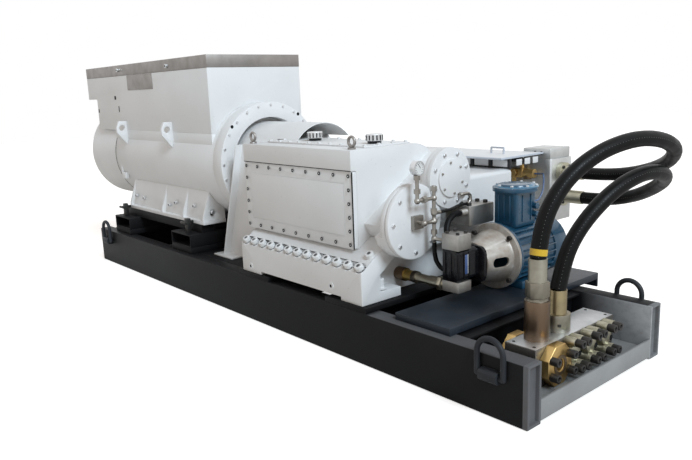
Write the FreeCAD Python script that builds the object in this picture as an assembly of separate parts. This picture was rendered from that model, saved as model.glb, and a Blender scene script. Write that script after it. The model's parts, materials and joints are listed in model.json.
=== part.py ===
import FreeCAD, Part
import os
from math import cos, pi, radians, sin, sqrt, tan

# A high pressure emulsion pump set on one skid: electric motor, coupling guard, plunger pump,
# oil pump set and delivery manifold. Millimetres, X along the skid towards the manifold,
# -Y the long side with the pump's big lid, Z up, origin at the middle of the skid's footprint.

V = FreeCAD.Vector
X_AXIS = V(1, 0, 0)
Y_AXIS = V(0, 1, 0)
Z_AXIS = V(0, 0, 1)
NEAR = -1
FAR = 1

# Skid frame
FRONT_BAY = 418
REAR_BAY = 225
SKID_WIDTH = 1064
BEAM_HEIGHT = 260
BEAM_WIDTH = 88
BEAM_FLANGE = 12
END_RECESS = 20
CROSS_WIDTH = 100
CROSS_WALL = 12
MIDDLE_CROSS_PLACES = (-1000, 0, 1012)
END_CROSS_INSET = 80
DECK_REAR = -640
DECK_FRONT = 50
DECK_THICKNESS = 10
FRONT_PLATE_THICKNESS = 12
FRONT_PLATE_LOW = 13
FRONT_PLATE_TOP = 100
FLOOR_TOP = 60
FLOOR_THICKNESS = 10

# Lifting rings on the outer faces of the side beams
RING_INSET = 165
RING_PIVOT_Z = 182
RING_BAR = 24
RING_WIDTH = 150
RING_HEIGHT = 163
RING_CLEARANCE = 5
LUG_WIDTH = 90
LUG_HEIGHT = 50
LUG_WALL = 11
LUG_BORE_CLEARANCE = 1

# Electric motor, axis along X above the middle of the skid
SHAFT_Z = 850
MOTOR_RADIUS = 385
MOTOR_REAR = -2480
MOTOR_JOINT = -1950
MOTOR_FRONT = -404
COWL_RADIUS = 381
COWL_ROUNDING = 30
FLANGE_RADIUS = 388
FLANGE_OPENING = 290
FLANGE_LENGTH = 100
HOOD_REAR = -2460
HOOD_FRONT = -440
HOOD_WIDTH = 724
HOOD_RISE = 310
HOOD_RIM = 80
HOOD_SEAM = 1050
HOOD_STEP_X = -2285
HOOD_STEP_DROP = 253
LIFT_PLATE_PLACES = (-1745, -985)
LIFT_PLATE_THICKNESS = 30
LIFT_PLATE_REACH = 84
LIFT_PLATE_TOP = 1122
LIFT_PLATE_LOW = 940
LIFT_PLATE_BORE = 44

# Motor feet, rails and the beams under them
FOOT_REAR = -1734
FOOT_FRONT = -565
FOOT_EDGE = 400
FOOT_INNER = 230
FOOT_BOTTOM = 446
FOOT_PLATE = 24
GUSSET_PLACES = (-1719, -1180, -862, -580)
GUSSET_THICKNESS = 20
GUSSET_TOP = 668
GUSSET_BORE = 40
FOOT_WEB = 14
FOOT_WEB_SETBACK = 26
RAIL_REAR = -1790
RAIL_FRONT = -600
RAIL_WIDTH = 100
CROSS_BEAM_PLACES = ((-1835, -1567), (-872, -601))
CROSS_BEAM_INSET = 42
CROSS_BEAM_HEIGHT = 88
CROSS_BEAM_WALL = 9
BEAM_PAD = 40
JACK_PLACES = (-1730, -714)
JACK_POST = 36
JACK_POST_HEIGHT = 96
JACK_SCREW = 20
JACK_SCREW_Z = 458
JACK_HANDLE = 72
JACK_OFFSET = 34

# Coupling guard and the plates that carry it
GUARD_RADIUS = 262
GUARD_WALL = 6
GUARD_ARCH_END = 250
STAND_HALF = 300
STAND_THICKNESS = 16
STAND_FOOT_REAR = -418
STAND_TOP_REAR = -178
STAND_TOP = 990
STAND_EDGE_STRIP = 46
STAND_LEDGE = 8
STAND_SOLE_REAR = -478
STAND_SOLE_FRONT = -259
STAND_SOLE_HALF = 90

# Pump base bars and casing
BASE_BAR_HEIGHT = 26
BASE_BAR_PLACES = ((60, 357), (859, 1165))
BASE_BAR_REACH = 9
LOWER_REAR = 92
LOWER_FRONT = 1131
LOWER_HALF = 523
LOWER_SHOULDER = 163
SLOPE_ANGLE = 33.3
SLOPE_LENGTH = 231
RELIEF_REAR = 277
RELIEF_FRONT = 975
RELIEF_HEIGHT = 18
END_POCKET_DEPTH = 90
LEG_WIDTH = 93
FOOT_BLOCK_TOP = 46
FOOT_BLOCK_INNER = 262
CASE_REAR = 50
CASE_FRONT = 992
CASE_SETBACK = 79
LID_FACE_SETBACK = 113
CASE_TOP = 1013
CASE_FAR = 200
CASE_CREST_RADIUS = 163
LID_SEAT = 2.8
LID_TOP = 911
LID_THICKNESS = 30
LID_CORNER = 14
LID_PANEL_MARGIN = 62
LID_PANEL_STEP = 4
TOP_COVER_REAR = 120
TOP_COVER_SETBACK = 124
TOP_COVER_THICKNESS = 8
TOP_COVER_MARGIN = 34

# Clamp screws along the casing's slope
SLOPE_SCREWS = 13
SLOPE_SCREW_FIRST = 126
SLOPE_SCREW_PITCH = 81
SLOPE_SCREW_UP = 27
SCREW_HEAD = 43
SCREW_HEAD_HEIGHT = 30
SPOT_FACE = 62
SPOT_DEPTH = 5
SPOT_ROOM = 240
CORNER_SCREWS_UP = (112, 202)
CORNER_SCREW_X = 1098

# Bearing covers on the +X face
CRANK_Y = -257
CRANK_Z = 668
CRANK_BOSS_RADIUS = 182
CRANK_COVER_RADIUS = 184
INPUT_BOSS_RADIUS = 150
INPUT_COVER_RADIUS = 152
INPUT_CAP_RADIUS = 95
COVER_SPACING = 3
STEP_LIFT = 84
STEP_LOW_END = 236
STEP_HIGH_END = 790
STEP_DEPTH = 100
STEP_FRONT = 1180
BOSS_FACE = 1205
COVER_FACE = 1233
INPUT_CAP_THICKNESS = 10

# Small fittings on the casing
BREATHER_PLACES = ((380, -170), (870, -170))
BREATHER_RADIUS = 45
BREATHER_HEIGHT = 46
BREATHER_NECK_RADIUS = 36
BREATHER_NECK = 12
EYEBOLT_PLACES = (95, 955)
EYEBOLT_SETBACK = 44
EYEBOLT_RADIUS = 23
EYEBOLT_BAR = 15
EYEBOLT_COLLAR_RADIUS = 20
EYEBOLT_COLLAR = 10

# Crosshead housing, plunger chamber and pump head on the far side
HOUSING_FAR = 640
HOUSING_LOW = 513
HOUSING_TOP = 823
HOUSING_ROUNDING = 24
CHAMBER_REAR = 70
CHAMBER_FRONT = 880
CHAMBER_LOW = 500
WINDOW_FRAME_HEIGHT = 57
WINDOW_FRAME_WALL = 18
WINDOW_COUNT = 8
WINDOW_BAR = 22
WINDOW_MARGIN = 12
WINDOW_RECESS = 5
COVER_NEAR = 545
COVER_GAP = 8
COVER_PLATE = 10
HANDLE_X = 944
HANDLE_Y = 759
HANDLE_LENGTH = 90
HANDLE_HEIGHT = 36
HANDLE_BAR = 12
HEAD_REAR = 0
HEAD_FRONT = 1180
HEAD_NEAR = 961
HEAD_DEPTH = 224
HEAD_LOW = 472
HEAD_TOP = 848
HEAD_CHAMFER = 8
TOP_BLOCK_REAR = 985
TOP_BLOCK_DEPTH = 210
TOP_BLOCK_HEIGHT = 62
VALVE_X = 960
VALVE_Z = 762
VALVE_AXIS = 32
VALVE_REACH = 130
OUTLET_Y = 1068
OUTLET_HEIGHTS = (765, 620)
OUTLET_FLANGE_RADIUS = 58
OUTLET_FLANGE = 34
FERRULE_RADIUS = 39
OUTLET_FERRULE = 116

# Lube oil set on its platform, axis along Y
PLATFORM_REAR = 1315
PLATFORM_FRONT = 1642
PLATFORM_NEAR = 488
PLATFORM_FAR = 709
PLATFORM_THICKNESS = 34
PLATFORM_LIP_LOW = 219
PLATFORM_LIP = 12
LUBE_X = 1408
LUBE_Z = 462
LUBE_FLANGE_Y = 120
LUBE_FLANGE_RADIUS = 165
LUBE_FLANGE = 16
LUBE_MOTOR_RADIUS = 142
LUBE_MOTOR_FAR = 430
LUBE_COWL_RADIUS = 152
LUBE_COWL_FAR = 560
LUBE_FOOT_HALF = 120
LUBE_FOOT_Y = (190, 390)
LUBE_FOOT_HEIGHT = 40
BELL_NEAR = -50
BELL_NEAR_RADIUS = 95
BELL_FAR_RADIUS = 138
BELL_WALL = 12
BELL_FLANGE = 18
BELL_WINDOW_LENGTH = 92
BELL_WINDOW_HEIGHT = 46
PUMP_PLATE_HALF = 88
PUMP_PLATE = 20
GEAR_PUMP_REAR = 1360
GEAR_PUMP_FRONT = 1456
GEAR_PUMP_NEAR = -212
GEAR_PUMP_LOW = 397
GEAR_PUMP_TOP = 547
GEAR_PUMP_ROUNDING = 26
PORT_BLOCK_FAR = -118
UPPER_BLOCK_HEIGHT = 75
LOWER_BLOCK_HEIGHT = 52
BOX_Y = 286
BOX_HALF_X = 70
BOX_HALF_Y = 88
BOX_SEAT_Z = 596
BOX_TOP = 768
BOX_ROUNDING = 22
BOX_LID_RADIUS = 112
BOX_LID = 22
BOX_DOME_RADIUS = 84
BOX_DOME = 14
VALVE_BLOCK_FRONT = 1290
VALVE_BLOCK_NEAR = 75
VALVE_BLOCK_FAR = 270
VALVE_BLOCK_LOW = 600
VALVE_BLOCK_TOP = 700

# Suction pipe, gauge and small pipework
SUCTION_Y = -190
SUCTION_Z = 371
SUCTION_RADIUS = 22
SUCTION_SOCKET = (34, 60)
SUCTION_WAIST = (27, 110)
SUCTION_COLLAR = (30, 138)
SUCTION_END = 94
SUCTION_END_RADIUS = 26
SUCTION_NUT = 34
SUCTION_NUT_FLATS = 62
SUCTION_STUB_RADIUS = 20
GAUGE_Y = -303
GAUGE_Z = 933
GAUGE_RADIUS = 33
GAUGE_DEPTH = 32
PIPE_X = 1290
PIPE_RADIUS = 9
NUT_RADIUS = 15
GAUGE_PIPE_LOW = 780
COLUMN_Y = -190
COLUMN_LOW = 566
COLUMN_TOP = 840
TEE_Z = 668
TEE_FLANGE = 22
TEE_FLANGE_HALF = 32
SIDE_PORT_Z = 584
BRANCH_Y = -147
BRANCH_Z = 707
ELBOW_X = 1252
ELBOW_Y = 58
ELBOW_Z = 762
ELBOW_BEND = 26
RETURN_Y = 100
DRAIN_X = 1262
DRAIN_Z = 672
DRAIN_FITTING = 42
DRAIN_FITTING_RADIUS = 19
GLAND_Z = 690
GLAND_LENGTH = 52
GLAND_RADIUS = 17

# Manifold and its flanges
BLOCK_REAR_INSET = 265
BLOCK_FRONT_INSET = 113
BLOCK_NEAR = -318
BLOCK_FAR = 300
BLOCK_TOP = 233
FITTING_INSET = 190
FITTING_UPPER_Y = -198
FITTING_LOWER_Y = -42
SLEEVE_RADIUS = 53
SLEEVE_TOP = 405
NUT_TOP = 486
NUT_FLATS = 88
FERRULE_TOP_UPPER = 585
FITTING_BASE_RADIUS = 56
FITTING_BASE_TOP = 311
FERRULE_TOP_LOWER = 417
PORT_Y = -203
PORT_Z = 150
PORT_FLATS = 172
PORT_THICKNESS = 43
PORT_BORE_RADIUS = 25
PORT_BORE_LENGTH = 60
PORT_SCREW_Y = 124
PORT_SCREW_Z = 70
SMALL_PORT_COUNT = 3
SMALL_PORT_PITCH = 130
SMALL_PORT_Z = 165
SMALL_PORT_RADIUS = 38
SMALL_PORT_THICKNESS = 34
SMALL_SCREW_Y = 45
SMALL_SCREW_Z = 108
SMALL_BOSS_RADIUS = 20
SMALL_BOSS_LENGTH = 52
PORT_SCREW_RADIUS = 18
PORT_SCREW_LENGTH = 36

# Free hoses
HOSE_DIAMETER = 70
BRANCH_HOSE_DIAMETER = 15
DRAIN_HOSE_DIAMETER = 30
COLUMN_HOSE_DIAMETER = 22
CABLE_DIAMETER = 10
CORNER_SHARE = 0.45

# Values that follow from the ones above
SKID_FRONT = PLATFORM_FRONT + FRONT_BAY
SKID_REAR = CROSS_BEAM_PLACES[0][0] - REAR_BAY
HALF_WIDTH = SKID_WIDTH / 2
CROSS_PLACES = (SKID_REAR + END_CROSS_INSET, *MIDDLE_CROSS_PLACES, PLATFORM_FRONT)
RING_FRONT_X = SKID_FRONT - RING_INSET
RING_REAR_X = SKID_REAR + RING_INSET
BEAM_INNER = HALF_WIDTH - BEAM_WIDTH
RING_Y = HALF_WIDTH + RING_CLEARANCE + RING_BAR / 2
HOOD_HALF = HOOD_WIDTH / 2
HOOD_TOP = SHAFT_Z + MOTOR_RADIUS + HOOD_RISE
HOOD_STEP_Z = HOOD_TOP - HOOD_STEP_DROP
CROSS_BEAM_HALF = HALF_WIDTH - CROSS_BEAM_INSET
CASE_NEAR = LOWER_HALF - CASE_SETBACK
CASE_LID_FACE = LOWER_HALF - LID_FACE_SETBACK
PAD_TOP = BEAM_HEIGHT + BEAM_PAD
CROSS_BEAM_TOP = PAD_TOP + CROSS_BEAM_HEIGHT
CASE_BOTTOM = BEAM_HEIGHT + BASE_BAR_HEIGHT
SHOULDER_Z = CASE_BOTTOM + LOWER_SHOULDER
SLOPE_COS = cos(radians(SLOPE_ANGLE))
SLOPE_SIN = sin(radians(SLOPE_ANGLE))
SLOPE_TOP_Y = LOWER_HALF - SLOPE_LENGTH * SLOPE_COS
SLOPE_TOP_Z = SHOULDER_Z + SLOPE_LENGTH * SLOPE_SIN
CASE_SLOPE_Z = SHOULDER_Z + (LOWER_HALF - CASE_LID_FACE) * tan(radians(SLOPE_ANGLE))
LID_LOW = CASE_SLOPE_Z + LID_SEAT
TOP_COVER_Z = CASE_TOP + TOP_COVER_THICKNESS
TOP_COVER_NEAR = CASE_NEAR - TOP_COVER_SETBACK
EYEBOLT_Y = EYEBOLT_SETBACK - CASE_NEAR
PLATFORM_TOP = BEAM_HEIGHT + PLATFORM_THICKNESS
UPPER_PORT_TOP = GEAR_PUMP_TOP + UPPER_BLOCK_HEIGHT
COVER_LOW = HOUSING_TOP + WINDOW_FRAME_HEIGHT
COVER_TOP = COVER_LOW + COVER_PLATE
RETURN_Z = ELBOW_Z - 2 * ELBOW_BEND
OUTLET_START = HEAD_FRONT + OUTLET_FLANGE
HOSE_START = OUTLET_START + OUTLET_FERRULE
DECK_TOP = BEAM_HEIGHT
VALVE_Y = HEAD_NEAR - VALVE_AXIS
BLOCK_REAR = SKID_FRONT - BLOCK_REAR_INSET
BLOCK_FRONT = SKID_FRONT - BLOCK_FRONT_INSET
FITTING_X = SKID_FRONT - FITTING_INSET


def block(xs, ys, zs):
    """A rectangular block between two limits along each axis, in either order."""
    x0, x1 = sorted(xs)
    y0, y1 = sorted(ys)
    z0, z1 = sorted(zs)
    return Part.makeBox(x1 - x0, y1 - y0, z1 - z0, V(x0, y0, z0))


def rod(radius, length, base, axis):
    """A round bar from a base point along an axis."""
    return Part.makeCylinder(radius, length, base, axis)


def prism(outline, axis, low, high):
    """A flat outline pushed along one axis; its points are the other two coordinates in order."""
    corner = {
        "x": lambda a, b: V(low, a, b),
        "y": lambda a, b: V(a, low, b),
        "z": lambda a, b: V(a, b, low),
    }[axis]
    push = {"x": X_AXIS, "y": Y_AXIS, "z": Z_AXIS}[axis]
    wire = Part.makePolygon([corner(a, b) for a, b in outline + outline[:1]])
    return Part.Face(wire).extrude(push * (high - low))


def turned(profile, base, axis):
    """A turned piece: an outline of (radius, height) points spun about an axis through base."""
    wire = Part.makePolygon([V(r, 0, h) for r, h in profile + profile[:1]])
    solid = Part.Face(wire).revolve(V(0, 0, 0), Z_AXIS, 360)
    solid.Placement = FreeCAD.Placement(base, FreeCAD.Rotation(Z_AXIS, axis))
    return solid


def hexagon(flats, height, base, axis, sides=6):
    """A nut or other many-sided bar, measured across its flats."""
    corner_radius = flats / 2 / cos(pi / sides)
    turn = 2 * pi / sides
    points = [
        (corner_radius * cos(turn * (k + 0.5)), corner_radius * sin(turn * (k + 0.5)))
        for k in range(sides)
    ]
    solid = prism(points, "z", 0, height)
    solid.Placement = FreeCAD.Placement(base, FreeCAD.Rotation(Z_AXIS, axis))
    return solid


def fused(solids):
    """Several touching solids joined into one."""
    return solids[0].fuse(solids[1:]).removeSplitter()


def edges_along(shape, axis, picked=None):
    """Straight edges parallel to an axis, all of them or those that picked accepts."""
    found = []
    for edge in shape.Edges:
        if not isinstance(edge.Curve, Part.Line):
            continue
        direction = edge.tangentAt(edge.FirstParameter)
        parallel = abs(abs(direction.dot(axis)) - 1) < 1e-6
        if parallel and (picked is None or picked(edge.CenterOfMass)):
            found.append(edge)
    return found


# Skid

def skid_beam(side):
    """Boxed side beam whose end plates are set back between its flanges."""
    beam = block((SKID_REAR, SKID_FRONT), (side * BEAM_INNER, side * HALF_WIDTH), (0, BEAM_HEIGHT))
    ys = (side * (BEAM_INNER + BEAM_FLANGE), side * (HALF_WIDTH - BEAM_FLANGE))
    zs = (BEAM_FLANGE, BEAM_HEIGHT - BEAM_FLANGE)
    for xs in ((SKID_REAR, SKID_REAR + END_RECESS), (SKID_FRONT - END_RECESS, SKID_FRONT)):
        beam = beam.cut(block(xs, ys, zs))
    return beam


def cross_member(x):
    """Rolled beam between the side beams: two flanges and a web."""
    top = BEAM_HEIGHT - DECK_THICKNESS
    xs = (x - CROSS_WIDTH / 2, x + CROSS_WIDTH / 2)
    ys = (-BEAM_INNER, BEAM_INNER)
    lower = block(xs, ys, (0, CROSS_WALL))
    upper = block(xs, ys, (top - CROSS_WALL, top))
    web = block((x - CROSS_WALL / 2, x + CROSS_WALL / 2), ys, (0, top))
    return fused([lower, web, upper])


def cross_members():
    return [cross_member(x) for x in CROSS_PLACES]


def skid_deck():
    zs = (BEAM_HEIGHT - DECK_THICKNESS, BEAM_HEIGHT)
    return block((DECK_REAR, DECK_FRONT), (-BEAM_INNER, BEAM_INNER), zs)


def manifold_floor():
    """Floor plate under the manifold, welded to the upright plate across the skid's front."""
    ys = (-BEAM_INNER, BEAM_INNER)
    back = SKID_FRONT - FRONT_PLATE_THICKNESS
    front_plate = block((back, SKID_FRONT), ys, (FRONT_PLATE_LOW, FRONT_PLATE_TOP))
    floor = block((CROSS_PLACES[-1] + CROSS_WIDTH / 2, back), ys, (FLOOR_TOP - FLOOR_THICKNESS, FLOOR_TOP))
    return fused([front_plate, floor])


def pump_base_bars():
    zs = (BEAM_HEIGHT, CASE_BOTTOM)
    half = LOWER_HALF + BASE_BAR_REACH
    return [block(xs, (-half, half), zs) for xs in BASE_BAR_PLACES]


def ring_places():
    return [(x, side) for side in (NEAR, FAR) for x in (RING_FRONT_X, RING_REAR_X)]


def lifting_lug(x, side):
    """Welded block that carries a ring in a bore along X, its outer edges rounded."""
    outer = RING_Y + RING_BAR / 2 + LUG_WALL
    xs = (x - LUG_WIDTH / 2, x + LUG_WIDTH / 2)
    zs = (RING_PIVOT_Z - LUG_HEIGHT / 2, RING_PIVOT_Z + LUG_HEIGHT / 2)
    lug = block(xs, (side * HALF_WIDTH, side * outer), zs)
    outer_edges = edges_along(lug, X_AXIS, lambda c: abs(c.y) > outer - 1)
    lug = lug.makeFillet((outer - RING_Y) * 0.8, outer_edges)
    bore = rod(RING_BAR / 2 + LUG_BORE_CLEARANCE, LUG_WIDTH, V(xs[0], side * RING_Y, RING_PIVOT_Z), X_AXIS)
    return lug.cut(bore)


def lifting_lugs():
    return [lifting_lug(x, side) for x, side in ring_places()]


def lifting_ring(x, side):
    """Forged ring: a bar through the lug, two legs and a half circle over them."""
    bar = RING_BAR / 2
    half = RING_WIDTH / 2 - bar
    y = side * RING_Y
    crown_z = RING_PIVOT_Z + RING_HEIGHT - bar - half
    left = V(x - half, y, RING_PIVOT_Z)
    right = V(x + half, y, RING_PIVOT_Z)
    crown = Part.makeTorus(half, bar, V(x, y, crown_z), Y_AXIS)
    crown = crown.common(block((x - RING_WIDTH, x + RING_WIDTH), (y - RING_BAR, y + RING_BAR),
                               (crown_z, crown_z + RING_WIDTH)))
    pieces = [
        rod(bar, 2 * half, left, X_AXIS),
        rod(bar, crown_z - RING_PIVOT_Z, left, Z_AXIS),
        rod(bar, crown_z - RING_PIVOT_Z, right, Z_AXIS),
        Part.makeSphere(bar, left),
        Part.makeSphere(bar, right),
        crown,
    ]
    return fused(pieces)


# Motor

def motor_body():
    return rod(MOTOR_RADIUS, MOTOR_FRONT - MOTOR_JOINT, V(MOTOR_JOINT, 0, SHAFT_Z), X_AXIS)


def motor_rear_cowl():
    cowl = rod(COWL_RADIUS, MOTOR_JOINT - MOTOR_REAR, V(MOTOR_REAR, 0, SHAFT_Z), X_AXIS)
    rim = [e for e in cowl.Edges if abs(e.CenterOfMass.x - MOTOR_REAR) < 1 and e.isClosed()]
    return cowl.makeFillet(COWL_ROUNDING, rim)


def motor_front_flange():
    """Ring in front of the motor body that the coupling guard enters."""
    base = V(MOTOR_FRONT, 0, SHAFT_Z)
    ring = rod(FLANGE_RADIUS, FLANGE_LENGTH, base, X_AXIS)
    return ring.cut(rod(FLANGE_OPENING, FLANGE_LENGTH, base, X_AXIS))


def motor_hood():
    """Tall box saddled on the motor, stepped up behind over the rear cowl."""
    rim_low = HOOD_TOP - HOOD_RIM
    outline = [(HOOD_REAR, rim_low), (HOOD_REAR, HOOD_STEP_Z), (HOOD_STEP_X, HOOD_STEP_Z),
               (HOOD_STEP_X, HOOD_SEAM), (HOOD_FRONT, HOOD_SEAM), (HOOD_FRONT, rim_low)]
    hood = prism(outline, "y", -HOOD_HALF, HOOD_HALF)
    return hood.cut(motor_body()).cut(motor_rear_cowl())


def hood_rim():
    return block((HOOD_REAR, HOOD_FRONT), (-HOOD_HALF, HOOD_HALF), (HOOD_TOP - HOOD_RIM, HOOD_TOP))


def motor_lifting_plate(x, side):
    """Upright plate with an eye, standing out of the hood's side and cut off below."""
    outer = HOOD_HALF + LIFT_PLATE_REACH
    inner = HOOD_HALF
    nose = LIFT_PLATE_REACH * 0.55
    outline = [(side * inner, LIFT_PLATE_TOP), (side * (outer - nose / 2), LIFT_PLATE_TOP),
               (side * outer, LIFT_PLATE_TOP - nose), (side * outer, LIFT_PLATE_LOW + 95),
               (side * (inner + 8), LIFT_PLATE_LOW), (side * sqrt(MOTOR_RADIUS**2 - 150**2), LIFT_PLATE_LOW),
               (side * inner * 0.93, HOOD_SEAM)]
    xs = (x - LIFT_PLATE_THICKNESS / 2, x + LIFT_PLATE_THICKNESS / 2)
    plate = prism(outline, "x", *xs)
    eye = V(xs[0], side * (inner + LIFT_PLATE_REACH / 2), LIFT_PLATE_TOP - nose - 6)
    plate = plate.cut(rod(LIFT_PLATE_BORE / 2, LIFT_PLATE_THICKNESS, eye, X_AXIS))
    return plate.cut(motor_body()).cut(motor_hood())


def motor_lifting_plates():
    return [motor_lifting_plate(x, side) for side in (NEAR, FAR) for x in LIFT_PLATE_PLACES]


def foot_outline(side, setback):
    """Cross section of a gusset: from the foot's outer edge up to the motor's flank."""
    plate_top = FOOT_BOTTOM + FOOT_PLATE
    flank = sqrt(MOTOR_RADIUS**2 - (GUSSET_TOP - SHAFT_Z)**2)
    edge = FOOT_EDGE - setback
    return [(side * edge, plate_top), (side * edge, plate_top + 20), (side * flank, GUSSET_TOP),
            (side * FOOT_INNER, GUSSET_TOP), (side * FOOT_INNER, plate_top)]


def motor_foot(side):
    """Fabricated foot: sole plate, four gussets with eyes and a web between them."""
    sole = block((FOOT_REAR, FOOT_FRONT), (side * FOOT_EDGE, side * FOOT_INNER),
                 (FOOT_BOTTOM, FOOT_BOTTOM + FOOT_PLATE))
    pieces = [sole]
    for x in GUSSET_PLACES:
        gusset = prism(foot_outline(side, 0), "x", x - GUSSET_THICKNESS / 2, x + GUSSET_THICKNESS / 2)
        eye = V(x - GUSSET_THICKNESS, side * (FOOT_EDGE - 75), FOOT_BOTTOM + 75)
        pieces.append(gusset.cut(rod(GUSSET_BORE / 2, 2 * GUSSET_THICKNESS, eye, X_AXIS)))
    skin = prism(foot_outline(side, FOOT_WEB_SETBACK), "x", GUSSET_PLACES[0], GUSSET_PLACES[-1])
    hollow = prism(foot_outline(side, FOOT_WEB_SETBACK + FOOT_WEB), "x", GUSSET_PLACES[0], GUSSET_PLACES[-1])
    pieces.append(skin.cut(hollow))
    return fused(pieces).cut(motor_body())


def motor_feet():
    return [motor_foot(NEAR), motor_foot(FAR)]


def motor_cross_beam(xs):
    """Open ended rectangular beam across the skid under the motor rails."""
    beam = block(xs, (-CROSS_BEAM_HALF, CROSS_BEAM_HALF), (PAD_TOP, CROSS_BEAM_TOP))
    inner_xs = (xs[0] + CROSS_BEAM_WALL, xs[1] - CROSS_BEAM_WALL)
    inner_zs = (PAD_TOP + CROSS_BEAM_WALL, CROSS_BEAM_TOP - CROSS_BEAM_WALL)
    return beam.cut(block(inner_xs, (-CROSS_BEAM_HALF, CROSS_BEAM_HALF), inner_zs))


def cross_beam_pads():
    ys = (-CROSS_BEAM_HALF, CROSS_BEAM_HALF)
    return [block(xs, ys, (BEAM_HEIGHT, PAD_TOP)) for xs in CROSS_BEAM_PLACES]


def motor_rails():
    """Two long bars between the cross beams and the motor's feet."""
    zs = (CROSS_BEAM_TOP, FOOT_BOTTOM)
    inner = FOOT_EDGE - RAIL_WIDTH
    return [block((RAIL_REAR, RAIL_FRONT), (s * inner, s * FOOT_EDGE), zs) for s in (NEAR, FAR)]


def jacking_screw(x, side):
    """Post on the cross beam with a cross handled screw that pushes the foot sideways."""
    y = side * (FOOT_EDGE + JACK_OFFSET)
    post = block((x - JACK_POST / 2, x + JACK_POST / 2), (y - side * 8, y + side * 20),
                 (CROSS_BEAM_TOP, CROSS_BEAM_TOP + JACK_POST_HEIGHT))
    tip = V(x, side * FOOT_EDGE, JACK_SCREW_Z)
    screw = rod(JACK_SCREW / 2, JACK_OFFSET + 40, tip, Y_AXIS * side)
    handle_base = V(x - JACK_HANDLE / 2, side * (FOOT_EDGE + JACK_OFFSET + 36), JACK_SCREW_Z)
    handle = rod(JACK_SCREW / 2 - 1, JACK_HANDLE, handle_base, X_AXIS)
    return fused([post, screw, handle])


def jacking_screws():
    return [jacking_screw(x, side) for side in (NEAR, FAR) for x in JACK_PLACES]


# Coupling guard

def guard_tube(rear, front):
    base = V(rear, 0, SHAFT_Z)
    outer = rod(GUARD_RADIUS, front - rear, base, X_AXIS)
    return outer.cut(rod(GUARD_RADIUS - GUARD_WALL, front - rear, base, X_AXIS))


def coupling_guard():
    """Round guard from the motor to the pump that goes on as an arch over the pump's top."""
    above = block((CASE_REAR, GUARD_ARCH_END), (-GUARD_RADIUS, GUARD_RADIUS), (TOP_COVER_Z, HOOD_TOP))
    arch = guard_tube(CASE_REAR, GUARD_ARCH_END).common(above)
    return fused([guard_tube(MOTOR_FRONT, CASE_REAR), arch])


def guard_stand(side):
    """Side plate beside the guard, with a flanged rear edge, a sole and a ledge at its top."""
    inner = STAND_HALF - STAND_THICKNESS / 2
    outer = STAND_HALF + STAND_THICKNESS / 2
    outline = [(STAND_FOOT_REAR, DECK_TOP), (STAND_TOP_REAR, STAND_TOP), (CASE_REAR, STAND_TOP),
               (CASE_REAR, DECK_TOP)]
    plate = prism(outline, "y", *sorted((side * inner, side * outer)))
    strip_outline = [(STAND_FOOT_REAR, DECK_TOP), (STAND_TOP_REAR, STAND_TOP),
                     (STAND_TOP_REAR + STAND_LEDGE, STAND_TOP), (STAND_FOOT_REAR + STAND_LEDGE, DECK_TOP)]
    strip = prism(strip_outline, "y", *sorted((side * inner, side * (outer + STAND_EDGE_STRIP))))
    sole = block((STAND_SOLE_REAR, STAND_SOLE_FRONT),
                 (side * (STAND_HALF - STAND_SOLE_HALF / 3), side * (STAND_HALF + STAND_SOLE_HALF)),
                 (DECK_TOP, DECK_TOP + DECK_THICKNESS))
    ledge = block((STAND_TOP_REAR, CASE_REAR), (0, side * outer), (STAND_TOP - STAND_LEDGE, STAND_TOP))
    ledge = ledge.cut(rod(GUARD_RADIUS, CASE_REAR - STAND_TOP_REAR, V(STAND_TOP_REAR, 0, SHAFT_Z), X_AXIS))
    stand = fused([plate, strip, sole, ledge])
    room_base = V(MOTOR_FRONT - FLANGE_LENGTH, 0, SHAFT_Z)
    room = rod(FLANGE_RADIUS + RING_CLEARANCE, FLANGE_LENGTH * 2, room_base, X_AXIS)
    return stand.cut(room)


def guard_stands():
    return [guard_stand(NEAR), guard_stand(FAR)]


# Pump casing

def slope_point(along, lift=0):
    """Y and Z of a point a distance up the near slope from its lower edge, and a height above it."""
    return (-LOWER_HALF + along * SLOPE_COS - lift * SLOPE_SIN,
            SHOULDER_Z + along * SLOPE_SIN + lift * SLOPE_COS)


def slope_normal():
    return V(0, -SLOPE_SIN, SLOPE_COS)


def slope_screw_places():
    """Where the clamp screws' axes meet the slope: a long row and two beside the front edge."""
    y, z = slope_point(SLOPE_SCREW_UP)
    row = [V(SLOPE_SCREW_FIRST + k * SLOPE_SCREW_PITCH, y, z) for k in range(SLOPE_SCREWS)]
    corner = [V(CORNER_SCREW_X, *slope_point(up)) for up in CORNER_SCREWS_UP]
    return row, corner


def lower_outline():
    """Cross section of the lower casing: wide soles, upright walls and sloping shoulders."""
    right = [(LOWER_HALF, CASE_BOTTOM), (LOWER_HALF, SHOULDER_Z), (SLOPE_TOP_Y, SLOPE_TOP_Z)]
    left = [(-y, z) for y, z in reversed(right)]
    return right + left


def end_pocket():
    """Recess in the lower casing's front end, between its two legs."""
    inner_y = LOWER_HALF - LEG_WIDTH * 1.32
    top_y, top_z = FOOT_BLOCK_INNER + 15, SHOULDER_Z + 51
    foot_z = CASE_BOTTOM + FOOT_BLOCK_TOP
    right = [(FOOT_BLOCK_INNER, CASE_BOTTOM), (FOOT_BLOCK_INNER, foot_z), (inner_y, foot_z),
             (inner_y, foot_z + 86), (top_y, top_z)]
    left = [(-y, z) for y, z in reversed(right)]
    return prism(right + left, "x", LOWER_FRONT - END_POCKET_DEPTH, LOWER_FRONT)


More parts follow.
